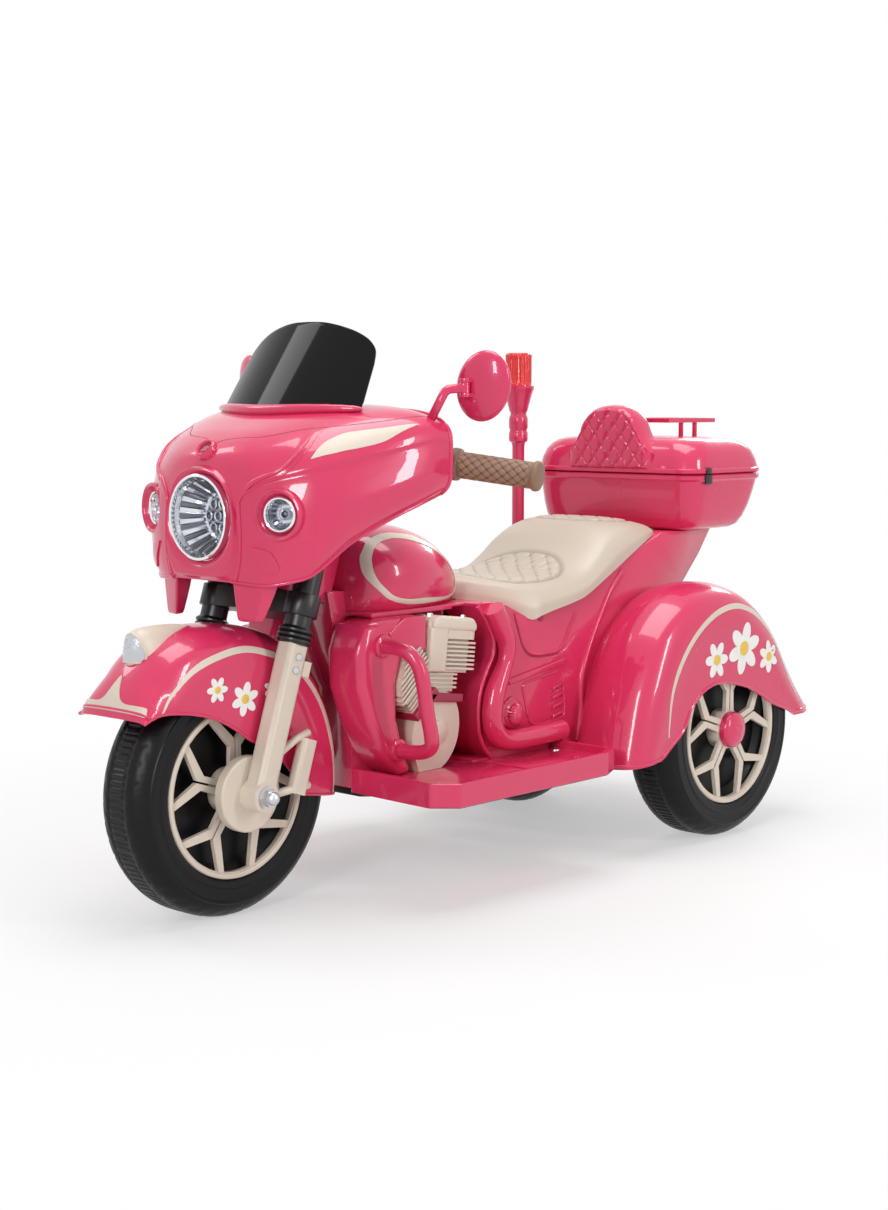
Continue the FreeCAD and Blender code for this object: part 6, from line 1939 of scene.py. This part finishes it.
# The camera in the drawing's millimetres, how far it looks down and how far it is turned, in degrees
CAMERA_PLACE = (1765.4, -1913.3, 608.7)
CAMERA_DIP, CAMERA_TURN = 5.951, 42.407
# Its focal length and the picture's height in pixels, and the sensor in millimetres
FOCAL_PIXELS, PICTURE_HEIGHT, SENSOR = 2000, 1210, 36
# Where the floor's white starts and is full, how white it starts, and the surround's strength as light
# Near the trike the floor's white is painted light: its glow makes the floor's shadow paler there
FLOOR_FADE, FLOOR_WHITE, SURROUND_LIGHT = (0.3, 1.2), 0.45, 0.25
# Each light: name, place, aim, size and power
LIGHTS = [
    ("overhead", (0.1, 0.0, 2.5), (0, 0, 0.3), (1.5, 1.5), 33),
    ("front_left_box", (1.3, -2.9, 1.4), (0, -0.2, 0.45), (0.45, 1.3), 35),
    ("side_strip", (2.7, 0.5, 1.3), (0, 0.1, 0.35), (0.26, 1.5), 24),
    ("far_side_fill", (-2.05, -1.0, 2.5), (0, -0.2, 0.5), (0.8, 1.2), 15),
    ("back_strip", (-0.8, 2.8, 1.7), (0, 0.2, 0.4), (1.4, 0.5), 20),
]


class TRIKE_OT_stage(bpy.types.Operator):
    """Sets the pale floor, the soft lights and the camera."""

    bl_idname = "trike.stage"
    bl_label = "Studio"

    def execute(self, context):
        scene = context.scene
        self.floor(scene.trike_sizes.floor)
        self.world(scene)
        for name, place, aim, size, power in LIGHTS:
            bpy.ops.object.select_all(action="DESELECT")
            bpy.ops.object.light_add(type="AREA", location=place)
            lamp = bpy.context.object
            lamp.name = name
            lamp.data.shape = "RECTANGLE"
            lamp.data.size, lamp.data.size_y = size
            lamp.data.energy = power
            lamp.rotation_euler = (Vector(aim) - Vector(place)).to_track_quat("-Z", "Y").to_euler()
        bpy.ops.object.camera_add(location=at(*CAMERA_PLACE))
        camera = bpy.context.object
        camera.name = "photo_view"
        camera.rotation_euler = (radians(90 - CAMERA_DIP), 0, radians(CAMERA_TURN))
        camera.data.sensor_width = SENSOR
        camera.data.lens = FOCAL_PIXELS * SENSOR / PICTURE_HEIGHT
        scene.camera = camera
        scene.view_settings.view_transform = "Standard"
        return {"FINISHED"}

    def floor(self, size):
        """A pale floor that goes to plain white away from the trike, in what the camera and mirrors see."""
        bpy.ops.object.select_all(action="DESELECT")
        bpy.ops.mesh.primitive_grid_add(x_subdivisions=4, y_subdivisions=4, size=size, location=(0, 0, 0))
        floor = started("studio_floor")
        material = bpy.data.materials.new("studio_white")
        material.use_nodes = True
        tree = material.node_tree
        shader = tree.nodes["Principled BSDF"]
        fill(shader, {"Base Color": (0.9, 0.9, 0.9, 1), "Roughness": 0.7, "Specular IOR Level": 0.1})
        glow = tree.nodes.new("ShaderNodeEmission")
        coords = tree.nodes.new("ShaderNodeTexCoord")
        reach = tree.nodes.new("ShaderNodeVectorMath")
        reach.operation = "LENGTH"
        ramp = tree.nodes.new("ShaderNodeMapRange")
        ramp.interpolation_type = "SMOOTHSTEP"
        fill(ramp, {"From Min": FLOOR_FADE[0], "From Max": FLOOR_FADE[1], "To Min": FLOOR_WHITE})
        tree.links.new(coords.outputs["Object"], reach.inputs[0])
        tree.links.new(reach.outputs["Value"], ramp.inputs["Value"])
        # The glow is painted light on the floor: near the trike it makes the shadow paler
        white = math_in(tree, "MULTIPLY", ramp.outputs["Result"], self.seen_ray(tree))
        self.mix_shaders(tree, white, shader, glow, "Material Output")
        floor.data.materials.append(material)

    def mix_shaders(self, tree, share, under, over, output):
        """Leads two shaders, mixed by a share, to the output."""
        mix = tree.nodes.new("ShaderNodeMixShader")
        tree.links.new(share, mix.inputs["Fac"])
        tree.links.new(under.outputs[0], mix.inputs[1])
        tree.links.new(over.outputs[0], mix.inputs[2])
        tree.links.new(mix.outputs[0], tree.nodes[output].inputs["Surface"])

    def seen_ray(self, tree):
        """One for what the camera sees directly, in a reflection or through glass."""
        path = tree.nodes.new("ShaderNodeLightPath")
        seen = math_in(tree, "MAXIMUM", path.outputs["Is Camera Ray"], path.outputs["Is Glossy Ray"])
        return math_in(tree, "MAXIMUM", seen, path.outputs["Is Transmission Ray"])

    def world(self, scene):
        """An even pale surround: white where it is seen, dimmer as light."""
        world = bpy.data.worlds.new("studio_surround")
        scene.world = world
        world.use_nodes = True
        tree = world.node_tree
        light = tree.nodes["Background"]
        fill(light, {"Color": (1, 1, 1, 1), "Strength": SURROUND_LIGHT})
        white = tree.nodes.new("ShaderNodeBackground")
        fill(white, {"Color": (1, 1, 1, 1), "Strength": 1.0})
        self.mix_shaders(tree, self.seen_ray(tree), light, white, "World Output")


OPERATORS = (
    TRIKE_OT_finishes, TRIKE_OT_wheels, TRIKE_OT_front_fender, TRIKE_OT_rear_fenders, TRIKE_OT_fairing,
    TRIKE_OT_windscreen, TRIKE_OT_lamps, TRIKE_OT_controls, TRIKE_OT_tank, TRIKE_OT_engine,
    TRIKE_OT_body_sides, TRIKE_OT_seat, TRIKE_OT_trunk, TRIKE_OT_beacon, TRIKE_OT_stage,
)


class TRIKE_PT_panel(bpy.types.Panel):
    """Lists the trike's colours, sizes and steps."""

    bl_label = "Trike"
    bl_idname = "TRIKE_PT_panel"
    bl_space_type = "VIEW_3D"
    bl_region_type = "UI"
    bl_category = "Trike"

    def draw(self, context):
        layout = self.layout
        for group in (context.scene.trike_paint, context.scene.trike_sizes):
            for name in group.bl_rna.properties.keys():
                if name not in ("rna_type", "name"):
                    layout.prop(group, name)
        for operator in OPERATORS:
            layout.operator(operator.bl_idname)


CLASSES = (TrikePaint, TrikeSizes) + OPERATORS + (TRIKE_PT_panel,)


def register():
    for kind in CLASSES:
        bpy.utils.register_class(kind)
    bpy.types.Scene.trike_paint = bpy.props.PointerProperty(type=TrikePaint)
    bpy.types.Scene.trike_sizes = bpy.props.PointerProperty(type=TrikeSizes)


def unregister():
    del bpy.types.Scene.trike_paint
    del bpy.types.Scene.trike_sizes
    for kind in reversed(CLASSES):
        bpy.utils.unregister_class(kind)


def main():
    """Makes the trike."""
    register()
    bpy.ops.object.select_all(action="DESELECT")
    for operator in OPERATORS:
        group, step = operator.bl_idname.split(".")
        getattr(getattr(bpy.ops, group), step)()
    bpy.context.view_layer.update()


if __name__ == "__main__":
    main()
